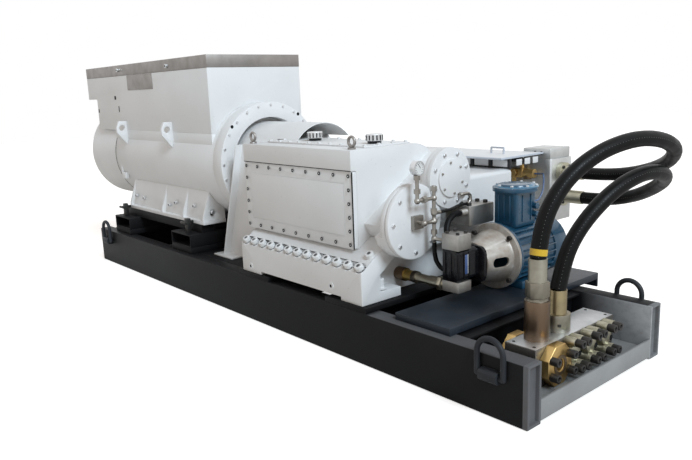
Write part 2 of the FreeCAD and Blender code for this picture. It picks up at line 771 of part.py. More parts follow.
def lower_casing():
    casing = prism(lower_outline(), "x", LOWER_REAR, LOWER_FRONT)
    relief = block((RELIEF_REAR, RELIEF_FRONT), (-LOWER_HALF, LOWER_HALF),
                   (CASE_BOTTOM, CASE_BOTTOM + RELIEF_HEIGHT))
    casing = casing.cut(relief).cut(end_pocket())
    for place in slope_screw_places()[0]:
        foot = place - slope_normal() * SPOT_DEPTH
        casing = casing.cut(rod(SPOT_FACE / 2, SPOT_FACE, foot, slope_normal()))
    return casing


def casing_screws():
    """Cap screws along the slope, each on its spot face, with a hexagon socket."""
    row, corner = slope_screw_places()
    seats = [place - slope_normal() * SPOT_DEPTH for place in row] + corner
    heads = []
    for seat in seats:
        head = rod(SCREW_HEAD / 2, SCREW_HEAD_HEIGHT, seat, slope_normal())
        socket_base = seat + slope_normal() * (SCREW_HEAD_HEIGHT * 0.5)
        heads.append(head.cut(hexagon(SCREW_HEAD * 0.46, SCREW_HEAD_HEIGHT, socket_base, slope_normal())))
    return heads


def crest_points():
    """Round far edge of the casing's top, about the input shaft's axis."""
    reach = CASE_TOP - SHAFT_Z
    steps = 12
    return [(reach * sin(pi / 2 * k / steps), SHAFT_Z + reach * cos(pi / 2 * k / steps))
            for k in range(steps + 1)]


def upper_outline():
    return ([(-CASE_LID_FACE, CASE_SLOPE_Z), (-CASE_LID_FACE, LID_TOP), (-CASE_NEAR, LID_TOP),
             (-CASE_NEAR, CASE_TOP)] + crest_points()
            + [(CASE_FAR, HOUSING_TOP), (CASE_FAR, SLOPE_TOP_Z), (-SLOPE_TOP_Y, SLOPE_TOP_Z)])


def sloped_prism(corners, low, high):
    """A prism along X whose outline is given up the near slope and above it."""
    return prism([slope_point(along, lift) for along, lift in corners], "x", low, high)


def bearing_bosses():
    """Step in front of the casing that carries both bearings, cut off parallel to the slope."""
    step = sloped_prism([(STEP_LOW_END, 0), (STEP_LOW_END, STEP_LIFT), (STEP_HIGH_END, STEP_LIFT),
                         (STEP_HIGH_END, -STEP_DEPTH), (STEP_LOW_END, -STEP_DEPTH)], CASE_FRONT, LOWER_FRONT)
    half = INPUT_BOSS_RADIUS / 2
    web = prism([(CRANK_Y, CRANK_Z - half), (0, SHAFT_Z - half), (0, SHAFT_Z + half),
                 (CRANK_Y, CRANK_Z + half)], "x", LOWER_FRONT, BOSS_FACE)
    crank = rod(CRANK_BOSS_RADIUS, BOSS_FACE - LOWER_FRONT, V(LOWER_FRONT, CRANK_Y, CRANK_Z), X_AXIS)
    shaft = rod(INPUT_BOSS_RADIUS, BOSS_FACE - CASE_FRONT, V(CASE_FRONT, 0, SHAFT_Z), X_AXIS)
    above = sloped_prism([(0, STEP_LIFT), (0, HOOD_TOP), (HOOD_TOP, HOOD_TOP), (HOOD_TOP, STEP_LIFT)],
                         CASE_FRONT, STEP_FRONT)
    bosses = step.fuse([web, crank, shaft]).cut(above)
    for place in slope_screw_places()[1]:
        foot = place - slope_normal() * SPOT_DEPTH
        bosses = bosses.cut(rod(SPOT_FACE / 2, SPOT_ROOM, foot, slope_normal()))
    return bosses


def upper_casing():
    casing = prism(upper_outline(), "x", CASE_REAR, CASE_FRONT)
    return casing.fuse([bearing_bosses()]).removeSplitter().cut(lower_casing_mass())


def lower_casing_mass():
    """The lower casing before its recesses, which the pieces above it are fitted to."""
    return prism(lower_outline(), "x", LOWER_REAR, LOWER_FRONT)


def side_lid():
    """Big lid on the near side: a rounded plate with a raised panel."""
    front = CASE_LID_FACE + LID_THICKNESS
    plate = block((CASE_REAR, CASE_FRONT), (-CASE_LID_FACE, -front), (LID_LOW, LID_TOP))
    plate = plate.makeFillet(LID_CORNER, edges_along(plate, Y_AXIS))
    panel = block((CASE_REAR + LID_PANEL_MARGIN, CASE_FRONT - LID_PANEL_MARGIN),
                  (-CASE_LID_FACE, -front - LID_PANEL_STEP),
                  (LID_LOW + LID_PANEL_MARGIN, LID_TOP - LID_PANEL_MARGIN))
    return fused([plate, panel])


def top_cover():
    xs = (TOP_COVER_REAR, CASE_FRONT - TOP_COVER_MARGIN)
    return block(xs, (-TOP_COVER_NEAR, 0), (CASE_TOP, TOP_COVER_Z))


def crank_bearing_cover():
    cover = rod(CRANK_COVER_RADIUS, COVER_FACE - BOSS_FACE, V(BOSS_FACE, CRANK_Y, CRANK_Z), X_AXIS)
    room = INPUT_COVER_RADIUS + COVER_SPACING
    return cover.cut(rod(room, COVER_FACE - BOSS_FACE, V(BOSS_FACE, 0, SHAFT_Z), X_AXIS))


def input_bearing_cover():
    """Flanged cover with a raised round cap in its middle."""
    base = V(BOSS_FACE, 0, SHAFT_Z)
    flange = rod(INPUT_COVER_RADIUS, COVER_FACE - BOSS_FACE, base, X_AXIS)
    cap = rod(INPUT_CAP_RADIUS, COVER_FACE - BOSS_FACE + INPUT_CAP_THICKNESS, base, X_AXIS)
    return fused([flange, cap])


def breather_cap(x, y):
    base = TOP_COVER_Z
    return turned([(0, 0), (BREATHER_NECK_RADIUS, 0), (BREATHER_NECK_RADIUS, BREATHER_NECK),
                   (BREATHER_RADIUS, BREATHER_NECK), (BREATHER_RADIUS, BREATHER_HEIGHT),
                   (BREATHER_RADIUS - 4, BREATHER_HEIGHT + 4), (0, BREATHER_HEIGHT + 4)],
                  V(x, y, base), Z_AXIS)


def breather_caps():
    return [breather_cap(x, y) for x, y in BREATHER_PLACES]


def eyebolt(x):
    """Lifting eye on a collar, its hole looking along Y."""
    collar = rod(EYEBOLT_COLLAR_RADIUS, EYEBOLT_COLLAR, V(x, EYEBOLT_Y, CASE_TOP), Z_AXIS)
    centre = V(x, EYEBOLT_Y, CASE_TOP + EYEBOLT_COLLAR + EYEBOLT_RADIUS + EYEBOLT_BAR / 2 - 3)
    return fused([collar, Part.makeTorus(EYEBOLT_RADIUS, EYEBOLT_BAR / 2, centre, Y_AXIS)])


def eyebolts():
    return [eyebolt(x) for x in EYEBOLT_PLACES]


# Plunger end

def crosshead_housing():
    housing = block((CASE_REAR, LOWER_FRONT), (CASE_FAR, HOUSING_FAR), (HOUSING_LOW, HOUSING_TOP))
    corner = edges_along(housing, Y_AXIS, lambda c: c.x > CASE_FRONT and c.z > HOUSING_LOW + 1)
    housing = housing.makeFillet(HOUSING_ROUNDING, corner)
    return housing.cut(lower_casing_mass()).cut(
        rod(INPUT_BOSS_RADIUS, BOSS_FACE - CASE_REAR, V(CASE_REAR, 0, SHAFT_Z), X_AXIS))


def plunger_chamber():
    xs = (CHAMBER_REAR, CHAMBER_FRONT)
    return block(xs, (HOUSING_FAR, HEAD_NEAR), (CHAMBER_LOW, HOUSING_TOP))


def window_frame():
    """Low strip with a row of glazed recesses that carries the plunger cover, and a rail on the head."""
    xs = (CHAMBER_REAR, LOWER_FRONT)
    ys = (HOUSING_FAR - WINDOW_FRAME_WALL, HOUSING_FAR)
    strip = block(xs, ys, (HOUSING_TOP, COVER_LOW))
    pitch = (xs[1] - xs[0] - WINDOW_BAR) / WINDOW_COUNT
    zs = (HOUSING_TOP + WINDOW_MARGIN, COVER_LOW - WINDOW_MARGIN)
    for k in range(WINDOW_COUNT):
        left = xs[0] + WINDOW_BAR + k * pitch
        strip = strip.cut(block((left, left + pitch - WINDOW_BAR), (ys[0], ys[0] + WINDOW_RECESS), zs))
    rail = block((CHAMBER_REAR, TOP_BLOCK_REAR), (HEAD_NEAR - WINDOW_FRAME_WALL, HEAD_NEAR),
                 (HOUSING_TOP, COVER_LOW))
    return [strip, rail]


def plunger_cover():
    """Cover plate over the plungers with a round bar handle."""
    plate = block((CHAMBER_REAR, LOWER_FRONT), (COVER_NEAR, HEAD_NEAR - COVER_GAP), (COVER_LOW, COVER_TOP))
    bar = HANDLE_BAR / 2
    left = V(HANDLE_X - HANDLE_LENGTH / 2, HANDLE_Y, COVER_TOP)
    right = V(HANDLE_X + HANDLE_LENGTH / 2, HANDLE_Y, COVER_TOP)
    top = V(0, 0, HANDLE_HEIGHT)
    grip = [rod(bar, HANDLE_HEIGHT, left, Z_AXIS), rod(bar, HANDLE_HEIGHT, right, Z_AXIS),
            rod(bar, HANDLE_LENGTH, left + top, X_AXIS), Part.makeSphere(bar, left + top),
            Part.makeSphere(bar, right + top)]
    return fused([plate] + grip)


def pump_head():
    head = block((HEAD_REAR, HEAD_FRONT), (HEAD_NEAR, HEAD_NEAR + HEAD_DEPTH), (HEAD_LOW, HEAD_TOP))
    return head.makeChamfer(HEAD_CHAMFER, edges_along(head, Z_AXIS))


def head_top_block():
    return block((TOP_BLOCK_REAR, HEAD_FRONT - HEAD_CHAMFER), (HEAD_NEAR, HEAD_NEAR + TOP_BLOCK_DEPTH),
                 (HEAD_TOP, HEAD_TOP + TOP_BLOCK_HEIGHT))


def head_outlets():
    """Delivery outlets on the head's front face: a round flange and a hose ferrule each."""
    outlets = []
    for z in OUTLET_HEIGHTS:
        base = V(HEAD_FRONT, OUTLET_Y, z)
        profile = [(0, 0), (OUTLET_FLANGE_RADIUS, 0), (OUTLET_FLANGE_RADIUS, OUTLET_FLANGE),
                   (FERRULE_RADIUS, OUTLET_FLANGE), (FERRULE_RADIUS, OUTLET_FLANGE + OUTLET_FERRULE),
                   (0, OUTLET_FLANGE + OUTLET_FERRULE)]
        outlets.append(turned(profile, base, X_AXIS))
    return outlets


def head_valve():
    """Small brass unloading valve on the head's near face, lying along X."""
    body = block((VALVE_X - 40, VALVE_X + 60), (HEAD_NEAR, HEAD_NEAR - 62), (VALVE_Z - 26, VALVE_Z + 26))
    coil = rod(27, VALVE_REACH - 60, V(VALVE_X + 60, VALVE_Y, VALVE_Z), X_AXIS)
    stem = rod(14, 60, V(VALVE_X - 16, VALVE_Y, VALVE_Z - 86), Z_AXIS)
    return fused([body, coil, stem])


# Lube oil set

def lube_platform():
    """Thick plate across the skid, longer than the skid is wide, with a lip at its far end."""
    plate = block((PLATFORM_REAR, PLATFORM_FRONT), (-PLATFORM_NEAR, PLATFORM_FAR),
                  (BEAM_HEIGHT, PLATFORM_TOP))
    lip = block((PLATFORM_REAR, PLATFORM_FRONT), (PLATFORM_FAR - PLATFORM_LIP, PLATFORM_FAR),
                (PLATFORM_LIP_LOW, BEAM_HEIGHT))
    return fused([plate, lip])


def lube_motor():
    """Flange motor with a fan cowl, standing on a foot."""
    base = V(LUBE_X, LUBE_FLANGE_Y, LUBE_Z)
    length = LUBE_MOTOR_FAR - LUBE_FLANGE_Y
    cowl_end = LUBE_COWL_FAR - LUBE_FLANGE_Y
    profile = [(0, 0), (LUBE_FLANGE_RADIUS, 0), (LUBE_FLANGE_RADIUS, LUBE_FLANGE),
               (LUBE_MOTOR_RADIUS, LUBE_FLANGE),
               (LUBE_MOTOR_RADIUS, length), (LUBE_COWL_RADIUS, length), (LUBE_COWL_RADIUS, cowl_end - 24),
               (LUBE_COWL_RADIUS - 24, cowl_end), (0, cowl_end)]
    foot = block((LUBE_X - LUBE_FOOT_HALF, LUBE_X + LUBE_FOOT_HALF), LUBE_FOOT_Y,
                 (PLATFORM_TOP, PLATFORM_TOP + LUBE_FOOT_HEIGHT))
    return fused([turned(profile, base, Y_AXIS), foot])


def lube_terminal_box():
    """Flameproof terminal box: a square body under a round lid."""
    body = block((LUBE_X - BOX_HALF_X, LUBE_X + BOX_HALF_X), (BOX_Y - BOX_HALF_Y, BOX_Y + BOX_HALF_Y),
                 (BOX_SEAT_Z, BOX_TOP))
    body = body.makeFillet(BOX_ROUNDING, edges_along(body, Z_AXIS))
    lid = turned([(0, 0), (BOX_LID_RADIUS, 0), (BOX_LID_RADIUS, BOX_LID), (BOX_DOME_RADIUS, BOX_LID),
                  (BOX_DOME_RADIUS - 6, BOX_LID + BOX_DOME), (0, BOX_LID + BOX_DOME)],
                 V(LUBE_X, BOX_Y, BOX_TOP), Z_AXIS)
    gland = rod(GLAND_RADIUS, GLAND_LENGTH, V(LUBE_X, BOX_Y + BOX_HALF_Y, GLAND_Z), Y_AXIS)
    return fused([body, lid, gland]).cut(
        rod(LUBE_MOTOR_RADIUS, LUBE_COWL_FAR, V(LUBE_X, 0, LUBE_Z), Y_AXIS))


def bell_housing():
    """Hollow cast cone between the gear pump and the motor, with a long window in its +X side."""
    length = LUBE_FLANGE_Y - BELL_NEAR
    base = V(LUBE_X, BELL_NEAR, LUBE_Z)
    cone = Part.makeCone(BELL_NEAR_RADIUS, BELL_FAR_RADIUS, length, base, Y_AXIS)
    flange = rod(LUBE_FLANGE_RADIUS, BELL_FLANGE, V(LUBE_X, LUBE_FLANGE_Y - BELL_FLANGE, LUBE_Z), Y_AXIS)
    hollow = Part.makeCone(BELL_NEAR_RADIUS - BELL_WALL, BELL_FAR_RADIUS - BELL_WALL, length, base, Y_AXIS)
    middle = BELL_NEAR + (length - BELL_FLANGE) / 2
    half = (BELL_WINDOW_LENGTH - BELL_WINDOW_HEIGHT) / 2
    slot = block((LUBE_X, LUBE_X + BELL_FAR_RADIUS), (middle - half, middle + half),
                 (LUBE_Z - BELL_WINDOW_HEIGHT / 2, LUBE_Z + BELL_WINDOW_HEIGHT / 2))
    ends = [rod(BELL_WINDOW_HEIGHT / 2, BELL_FAR_RADIUS, V(LUBE_X, middle + s * half, LUBE_Z), X_AXIS)
            for s in (-1, 1)]
    return fused([cone, flange]).cut(hollow).cut(slot.fuse(ends))


def gear_pump():
    """Gear pump body with its square mounting plate."""
    body = block((GEAR_PUMP_REAR, GEAR_PUMP_FRONT), (GEAR_PUMP_NEAR, BELL_NEAR - PUMP_PLATE),
                 (GEAR_PUMP_LOW, GEAR_PUMP_TOP))
    body = body.makeFillet(GEAR_PUMP_ROUNDING, edges_along(body, Y_AXIS, lambda c: c.x > LUBE_X))
    plate = block((LUBE_X - PUMP_PLATE_HALF, LUBE_X + PUMP_PLATE_HALF), (BELL_NEAR - PUMP_PLATE, BELL_NEAR),
                  (LUBE_Z - PUMP_PLATE_HALF, LUBE_Z + PUMP_PLATE_HALF))
    plate = plate.makeFillet(PUMP_PLATE_HALF * 0.45, edges_along(plate, Y_AXIS))
    return fused([body, plate])


def pump_port_blocks():
    xs = (GEAR_PUMP_REAR - 4, GEAR_PUMP_FRONT)
    ys = (GEAR_PUMP_NEAR, PORT_BLOCK_FAR)
    upper = block(xs, ys, (GEAR_PUMP_TOP, UPPER_PORT_TOP))
    lower = block(xs, ys, (GEAR_PUMP_LOW - LOWER_BLOCK_HEIGHT, GEAR_PUMP_LOW))
    return [upper, lower]


def lube_valve_block():
    """Valve block on the crosshead housing's front, with the drain hose's fitting."""
    body = block((LOWER_FRONT, VALVE_BLOCK_FRONT), (VALVE_BLOCK_NEAR, VALVE_BLOCK_FAR),
                 (VALVE_BLOCK_LOW, VALVE_BLOCK_TOP))
    fitting = rod(DRAIN_FITTING_RADIUS, DRAIN_FITTING, V(DRAIN_X, VALVE_BLOCK_NEAR, DRAIN_Z), Y_AXIS * -1)
    return fused([body, fitting])


def suction_pipe():
    """Suction line from the sump to the gear pump: fittings and a short length of hose."""
    start = LOWER_FRONT - END_POCKET_DEPTH
    length = GEAR_PUMP_REAR - 4 - start
    steps = [SUCTION_SOCKET, SUCTION_WAIST, SUCTION_COLLAR, (SUCTION_RADIUS, length - SUCTION_END),
             (SUCTION_END_RADIUS, length - SUCTION_NUT), (SUCTION_STUB_RADIUS, length)]
    profile = [(0, 0)]
    height = 0
    for radius, top in steps:
        profile += [(radius, height), (radius, top)]
        height = top
    profile.append((0, length))
    nut_base = V(start + length - SUCTION_NUT, SUCTION_Y, SUCTION_Z)
    nut = hexagon(SUCTION_NUT_FLATS, SUCTION_NUT * 0.7, nut_base, X_AXIS)
    return fused([turned(profile, V(start, SUCTION_Y, SUCTION_Z), X_AXIS), nut])


def pipe_between(start, end, radius):
    step = end - start
    return rod(radius, step.Length, start, step)


def gauge_pipework():
    """Rigid pipes that carry the gauge, joined to the crank cover by a small flange."""
    tee = V(PIPE_X, COLUMN_Y, TEE_Z)
    gauge_foot = V(PIPE_X, GAUGE_Y, GAUGE_PIPE_LOW)
    gauge_seat = V(PIPE_X, GAUGE_Y, GAUGE_Z - GAUGE_RADIUS)
    column_foot = V(PIPE_X, COLUMN_Y, COLUMN_LOW)
    column_head = V(PIPE_X, COLUMN_Y, COLUMN_TOP)
    column_turn = V(PIPE_X, COLUMN_Y, GAUGE_PIPE_LOW)
    flange_seat = V(COVER_FACE, CRANK_Y, TEE_Z)
    flange_turn = V(PIPE_X, CRANK_Y, TEE_Z)
    side_port = V(PIPE_X, COLUMN_Y, SIDE_PORT_Z)
    port_face = V(GEAR_PUMP_REAR - 4, COLUMN_Y, SIDE_PORT_Z)
    branch = V(PIPE_X, BRANCH_Y, BRANCH_Z)
    branch_root = V(PIPE_X, COLUMN_Y, BRANCH_Z)
    runs = [(gauge_foot, gauge_seat), (gauge_foot, column_turn), (column_foot, column_head),
            (flange_seat, flange_turn), (flange_turn, tee), (side_port, port_face), (branch_root, branch)]
    pipes = [pipe_between(a, b, PIPE_RADIUS) for a, b in runs]
    corners = [gauge_foot, column_turn, flange_turn, tee, side_port, branch_root]
    knots = [Part.makeSphere(NUT_RADIUS, corner) for corner in corners]
    nut_feet = [(gauge_foot + V(0, 0, 34), Z_AXIS), (gauge_foot + V(0, 34, 0), Y_AXIS),
                (column_head - V(0, 0, 26), Z_AXIS), (tee + V(0, 0, 40), Z_AXIS),
                (tee - V(0, 0, 62), Z_AXIS), (gauge_seat - V(0, 0, 22), Z_AXIS)]
    nuts = [hexagon(2 * NUT_RADIUS - 2, 22, foot, axis) for foot, axis in nut_feet]
    plate = block((COVER_FACE, COVER_FACE + TEE_FLANGE),
                  (CRANK_Y - TEE_FLANGE_HALF, CRANK_Y + TEE_FLANGE_HALF),
                  (TEE_Z - TEE_FLANGE_HALF, TEE_Z + TEE_FLANGE_HALF))
    elbow_foot = V(COVER_FACE, ELBOW_Y, ELBOW_Z)
    elbow_turn = V(ELBOW_X, ELBOW_Y, ELBOW_Z)
    bend = Part.makeTorus(ELBOW_BEND, PIPE_RADIUS, V(ELBOW_X, RETURN_Y, ELBOW_Z - ELBOW_BEND), X_AXIS)
    bend = bend.common(block((ELBOW_X - NUT_RADIUS, ELBOW_X + NUT_RADIUS), (RETURN_Y, RETURN_Y + ELBOW_Z),
                             (0, HOOD_TOP)))
    elbow = fused([pipe_between(elbow_foot, elbow_turn, PIPE_RADIUS),
                   Part.makeSphere(PIPE_RADIUS, elbow_turn),
                   rod(PIPE_RADIUS, RETURN_Y - ELBOW_Y, elbow_turn, Y_AXIS), bend])
    return [fused(pipes + knots + nuts + [plate]), elbow]


def pressure_gauge():
    """Round dial gauge that looks along +X."""
    base = V(PIPE_X - GAUGE_DEPTH / 2, GAUGE_Y, GAUGE_Z)
    return rod(GAUGE_RADIUS, GAUGE_DEPTH, base, X_AXIS)


# Manifold

def port_screw_places(y, z, pitch_y, pitch_z):
    return [(y + sy * pitch_y / 2, z + sz * pitch_z / 2) for sy in (-1, 1) for sz in (-1, 1)]


def small_port_places():
    return [PORT_Y + SMALL_PORT_PITCH * (k + 1) for k in range(SMALL_PORT_COUNT)]


def manifold_block():
    manifold = block((BLOCK_REAR, BLOCK_FRONT), (BLOCK_NEAR, BLOCK_FAR), (FLOOR_TOP, BLOCK_TOP))
    bore = rod(PORT_BORE_RADIUS, PORT_BORE_LENGTH, V(BLOCK_FRONT, PORT_Y, PORT_Z), X_AXIS * -1)
    return manifold.cut(bore)


def port_flange(x, direction):
    """Eight sided delivery flange with a through bore."""
    base = V(x, PORT_Y, PORT_Z)
    flange = hexagon(PORT_FLATS, PORT_THICKNESS, base, X_AXIS * direction, 8)
    return flange.cut(rod(PORT_BORE_RADIUS, PORT_THICKNESS, base, X_AXIS * direction))


def manifold_port_flange():
    return port_flange(BLOCK_FRONT, 1)


def manifold_rear_flange():
    """The same flange on the block's back, closed."""
    return hexagon(PORT_FLATS, PORT_THICKNESS, V(BLOCK_REAR, PORT_Y, PORT_Z), X_AXIS * -1, 8)


def small_port_flange(y):
    """Round port with four screw bosses standing on the block's front face."""
    body = rod(SMALL_PORT_RADIUS, SMALL_PORT_THICKNESS, V(BLOCK_FRONT, y, SMALL_PORT_Z), X_AXIS)
    web = block((BLOCK_FRONT, BLOCK_FRONT + SMALL_PORT_THICKNESS / 2),
                (y - SMALL_SCREW_Y / 2, y + SMALL_SCREW_Y / 2),
                (SMALL_PORT_Z - SMALL_SCREW_Z / 2, SMALL_PORT_Z + SMALL_SCREW_Z / 2))
    bosses = [rod(SMALL_BOSS_RADIUS, SMALL_BOSS_LENGTH, V(BLOCK_FRONT, py, pz), X_AXIS)
              for py, pz in port_screw_places(y, SMALL_PORT_Z, SMALL_SCREW_Y, SMALL_SCREW_Z)]
    return fused([body, web] + bosses)


def small_port_flanges():
    return [small_port_flange(y) for y in small_port_places()]


def port_screw(x, y, z):
    head = rod(PORT_SCREW_RADIUS, PORT_SCREW_LENGTH, V(x, y, z), X_AXIS)
    socket_base = V(x + PORT_SCREW_LENGTH / 2, y, z)
    return head.cut(hexagon(PORT_SCREW_RADIUS, PORT_SCREW_LENGTH, socket_base, X_AXIS))


def manifold_screws():
    """Socket screws of the delivery flange and of the three small ports."""
    big = [port_screw(BLOCK_FRONT + PORT_THICKNESS, y, z)
           for y, z in port_screw_places(PORT_Y, PORT_Z, PORT_SCREW_Y, PORT_SCREW_Z)]
    small = [port_screw(BLOCK_FRONT + SMALL_BOSS_LENGTH, y, z) for port in small_port_places()
             for y, z in port_screw_places(port, SMALL_PORT_Z, SMALL_SCREW_Y, SMALL_SCREW_Z)]
    return big + small


def hose_fitting_upper():
    """Tall fitting: bronze sleeve, thin ring, union nut and hose ferrule."""
    base = V(FITTING_X, FITTING_UPPER_Y, BLOCK_TOP)
    sleeve = rod(SLEEVE_RADIUS, SLEEVE_TOP - BLOCK_TOP, base, Z_AXIS)
    ring = rod(SLEEVE_RADIUS * 0.84, 14, V(FITTING_X, FITTING_UPPER_Y, SLEEVE_TOP), Z_AXIS)
    nut_base = V(FITTING_X, FITTING_UPPER_Y, SLEEVE_TOP + 14)
    nut = hexagon(NUT_FLATS, NUT_TOP - SLEEVE_TOP - 14, nut_base, Z_AXIS)
    ferrule = rod(FERRULE_RADIUS, FERRULE_TOP_UPPER - NUT_TOP, V(FITTING_X, FITTING_UPPER_Y, NUT_TOP), Z_AXIS)
    return fused([sleeve, ring, nut, ferrule])


def hose_fitting_lower():
    """Low fitting: flange base with a hose ferrule."""
    base = V(FITTING_X, FITTING_LOWER_Y, BLOCK_TOP)
    foot = rod(FITTING_BASE_RADIUS, FITTING_BASE_TOP - BLOCK_TOP, base, Z_AXIS)
    ferrule = rod(FERRULE_RADIUS, FERRULE_TOP_LOWER - BLOCK_TOP, base, Z_AXIS)
    return fused([foot, ferrule])


# Hoses

def hose(name, points, diameter):
    """A hose along straight runs joined by tangent arcs, with its radii and volume printed."""
    stops = [V(*point) for point in points]
    edges = []
    radii = []
    last = stops[0]
    for before, corner, after in zip(stops, stops[1:], stops[2:]):
        back = before - corner
        ahead = after - corner
        trim = CORNER_SHARE * min(back.Length, ahead.Length)
        half_turn = (pi - back.getAngle(ahead)) / 2
        radius = trim / tan(half_turn)
        back.normalize()
        ahead.normalize()
        inward = back + ahead
        inward.normalize()
        enter = corner + back * trim
        middle = corner + inward * (radius / cos(half_turn) - radius)
        leave = corner + ahead * trim
        edges.append(Part.LineSegment(last, enter).toShape())
        edges.append(Part.Arc(enter, middle, leave).toShape())
        radii.append(round(radius))
        last = leave
    edges.append(Part.LineSegment(last, stops[-1]).toShape())
    path = Part.Wire(edges)
    ring = Part.Wire(Part.makeCircle(diameter / 2, stops[0], stops[1] - stops[0]))
    solid = path.makePipeShell([ring], True, False)
    expected = pi * diameter**2 / 4 * path.Length
    share = round(solid.Volume / expected, 4)
    print(name, "length", round(path.Length), "radii", radii, "volume share", share)
    return solid


HOSE_UPPER_ROUTE = [
    (HOSE_START, OUTLET_Y, OUTLET_HEIGHTS[0]), (1470, OUTLET_Y, OUTLET_HEIGHTS[0]), (1640, 1046, 790),
    (1805, 962, 838), (1948, 818, 905), (2036, 645, 980), (2046, 470, 1032), (2016, 290, 1046),
    (1962, 110, 1006), (1912, -35, 920), (1882, -130, 812), (FITTING_X, -182, 690),
    (FITTING_X, FITTING_UPPER_Y, FERRULE_TOP_UPPER),
]
HOSE_LOWER_ROUTE = [
    (HOSE_START, OUTLET_Y, OUTLET_HEIGHTS[1]), (1470, OUTLET_Y, OUTLET_HEIGHTS[1]), (1645, 1038, 660),
    (1800, 935, 728), (1928, 795, 800), (2002, 620, 862), (2000, 440, 885), (1965, 275, 840),
    (1925, 140, 750), (1892, 38, 640), (1877, -18, 530), (FITTING_X, FITTING_LOWER_Y, FERRULE_TOP_LOWER),
]
BRANCH_HOSE_ROUTE = [
    (PIPE_X, BRANCH_Y, BRANCH_Z), (PIPE_X, -75, BRANCH_Z), (ELBOW_X, 35, RETURN_Z),
    (ELBOW_X, RETURN_Y, RETURN_Z),
]
DRAIN_HOSE_ROUTE = [
    (DRAIN_X, VALVE_BLOCK_NEAR - DRAIN_FITTING, DRAIN_Z), (DRAIN_X, -15, DRAIN_Z), (1265, -58, 648),
    (1276, -86, 607), (1294, -92, 566), (1320, -86, 525), (GEAR_PUMP_REAR, -86, 525),
]
COLUMN_HOSE_ROUTE = [
    (PIPE_X, COLUMN_Y, COLUMN_LOW), (PIPE_X, COLUMN_Y, 520), (1298, -187, 474), (1323, -178, 438),
    (GEAR_PUMP_REAR, -178, 438),
]
CABLE_ROUTE = [
    (VALVE_X + VALVE_REACH, VALVE_Y, VALVE_Z), (1122, VALVE_Y, VALVE_Z), (1158, 913, 768), (1190, 868, 766),
    (1234, 806, 744), (1285, 725, 717), (1335, 634, 699), (1375, 553, 690), (LUBE_X, 492, GLAND_Z),
    (LUBE_X, BOX_Y + BOX_HALF_Y + GLAND_LENGTH, GLAND_Z),
]


def hose_upper():
    return hose("hose_upper", HOSE_UPPER_ROUTE, HOSE_DIAMETER)


def hose_lower():
    return hose("hose_lower", HOSE_LOWER_ROUTE, HOSE_DIAMETER)


def oil_hoses():
    """Three short hoses held between the fittings of the oil set."""
    return [hose("branch hose", BRANCH_HOSE_ROUTE, BRANCH_HOSE_DIAMETER),
            hose("drain hose", DRAIN_HOSE_ROUTE, DRAIN_HOSE_DIAMETER),
            hose("column hose", COLUMN_HOSE_ROUTE, COLUMN_HOSE_DIAMETER)]


def valve_cable():
    return hose("valve cable", CABLE_ROUTE, CABLE_DIAMETER)


PIECES = {
    "skid_beam_near": lambda: skid_beam(NEAR),
    "skid_beam_far": lambda: skid_beam(FAR),
    "skid_cross_members": cross_members,
    "skid_deck": skid_deck,
    "manifold_floor": manifold_floor,
    "pump_base_bars": pump_base_bars,
    "lifting_lugs": lifting_lugs,
    "ring_near_front": lambda: lifting_ring(RING_FRONT_X, NEAR),
    "ring_near_rear": lambda: lifting_ring(RING_REAR_X, NEAR),
    "ring_far_front": lambda: lifting_ring(RING_FRONT_X, FAR),
    "ring_far_rear": lambda: lifting_ring(RING_REAR_X, FAR),
    "motor_body": motor_body,
    "motor_rear_cowl": motor_rear_cowl,
    "motor_front_flange": motor_front_flange,
    "motor_hood": motor_hood,
    "hood_rim": hood_rim,
    "motor_lifting_plates": motor_lifting_plates,
    "motor_feet": motor_feet,
    "motor_cross_beams": lambda: [motor_cross_beam(xs) for xs in CROSS_BEAM_PLACES],
    "cross_beam_pads": cross_beam_pads,
    "motor_rails": motor_rails,
    "jacking_screws": jacking_screws,
    "coupling_guard": coupling_guard,
    "guard_stands": guard_stands,
    "lower_casing": lower_casing,
    "upper_casing": upper_casing,
    "casing_screws": casing_screws,
    "side_lid": side_lid,
    "top_cover": top_cover,
    "crank_bearing_cover": crank_bearing_cover,
    "input_bearing_cover": input_bearing_cover,
    "breather_caps": breather_caps,
    "eyebolts": eyebolts,
    "crosshead_housing": crosshead_housing,
    "plunger_chamber": plunger_chamber,
    "window_frame": window_frame,
    "plunger_cover": plunger_cover,
    "pump_head": pump_head,
    "head_top_block": head_top_block,
    "head_outlets": head_outlets,
    "head_valve": head_valve,
    "lube_platform": lube_platform,
    "lube_motor": lube_motor,
    "lube_terminal_box": lube_terminal_box,
    "bell_housing": bell_housing,
    "gear_pump": gear_pump,
    "pump_port_blocks": pump_port_blocks,
    "lube_valve_block": lube_valve_block,
    "suction_pipe": suction_pipe,
    "gauge_pipework": gauge_pipework,
    "pressure_gauge": pressure_gauge,
    "manifold_block": manifold_block,
    "manifold_flanges": lambda: [manifold_port_flange(), manifold_rear_flange()],
    "small_port_flanges": small_port_flanges,
    "manifold_screws": manifold_screws,
    "hose_fittings": lambda: [hose_fitting_upper(), hose_fitting_lower()],
    "hose_upper": hose_upper,
    "hose_lower": hose_lower,
    "oil_hoses": oil_hoses,
    "valve_cable": valve_cable,
}

os.makedirs("parts", exist_ok=True)
for name, make in PIECES.items():
    made = make()
    shape = Part.makeCompound(made) if isinstance(made, list) else made
    for solid in shape.Solids:
        if not solid.isValid() or solid.Volume <= 0:
            print(name, "has a solid that is not sound", solid.Volume)
    print(f"{name}: {len(shape.Solids)} solids, {shape.Volume / 1e6:.2f} litres")
    shape.exportStep(f"parts/{name}.step")
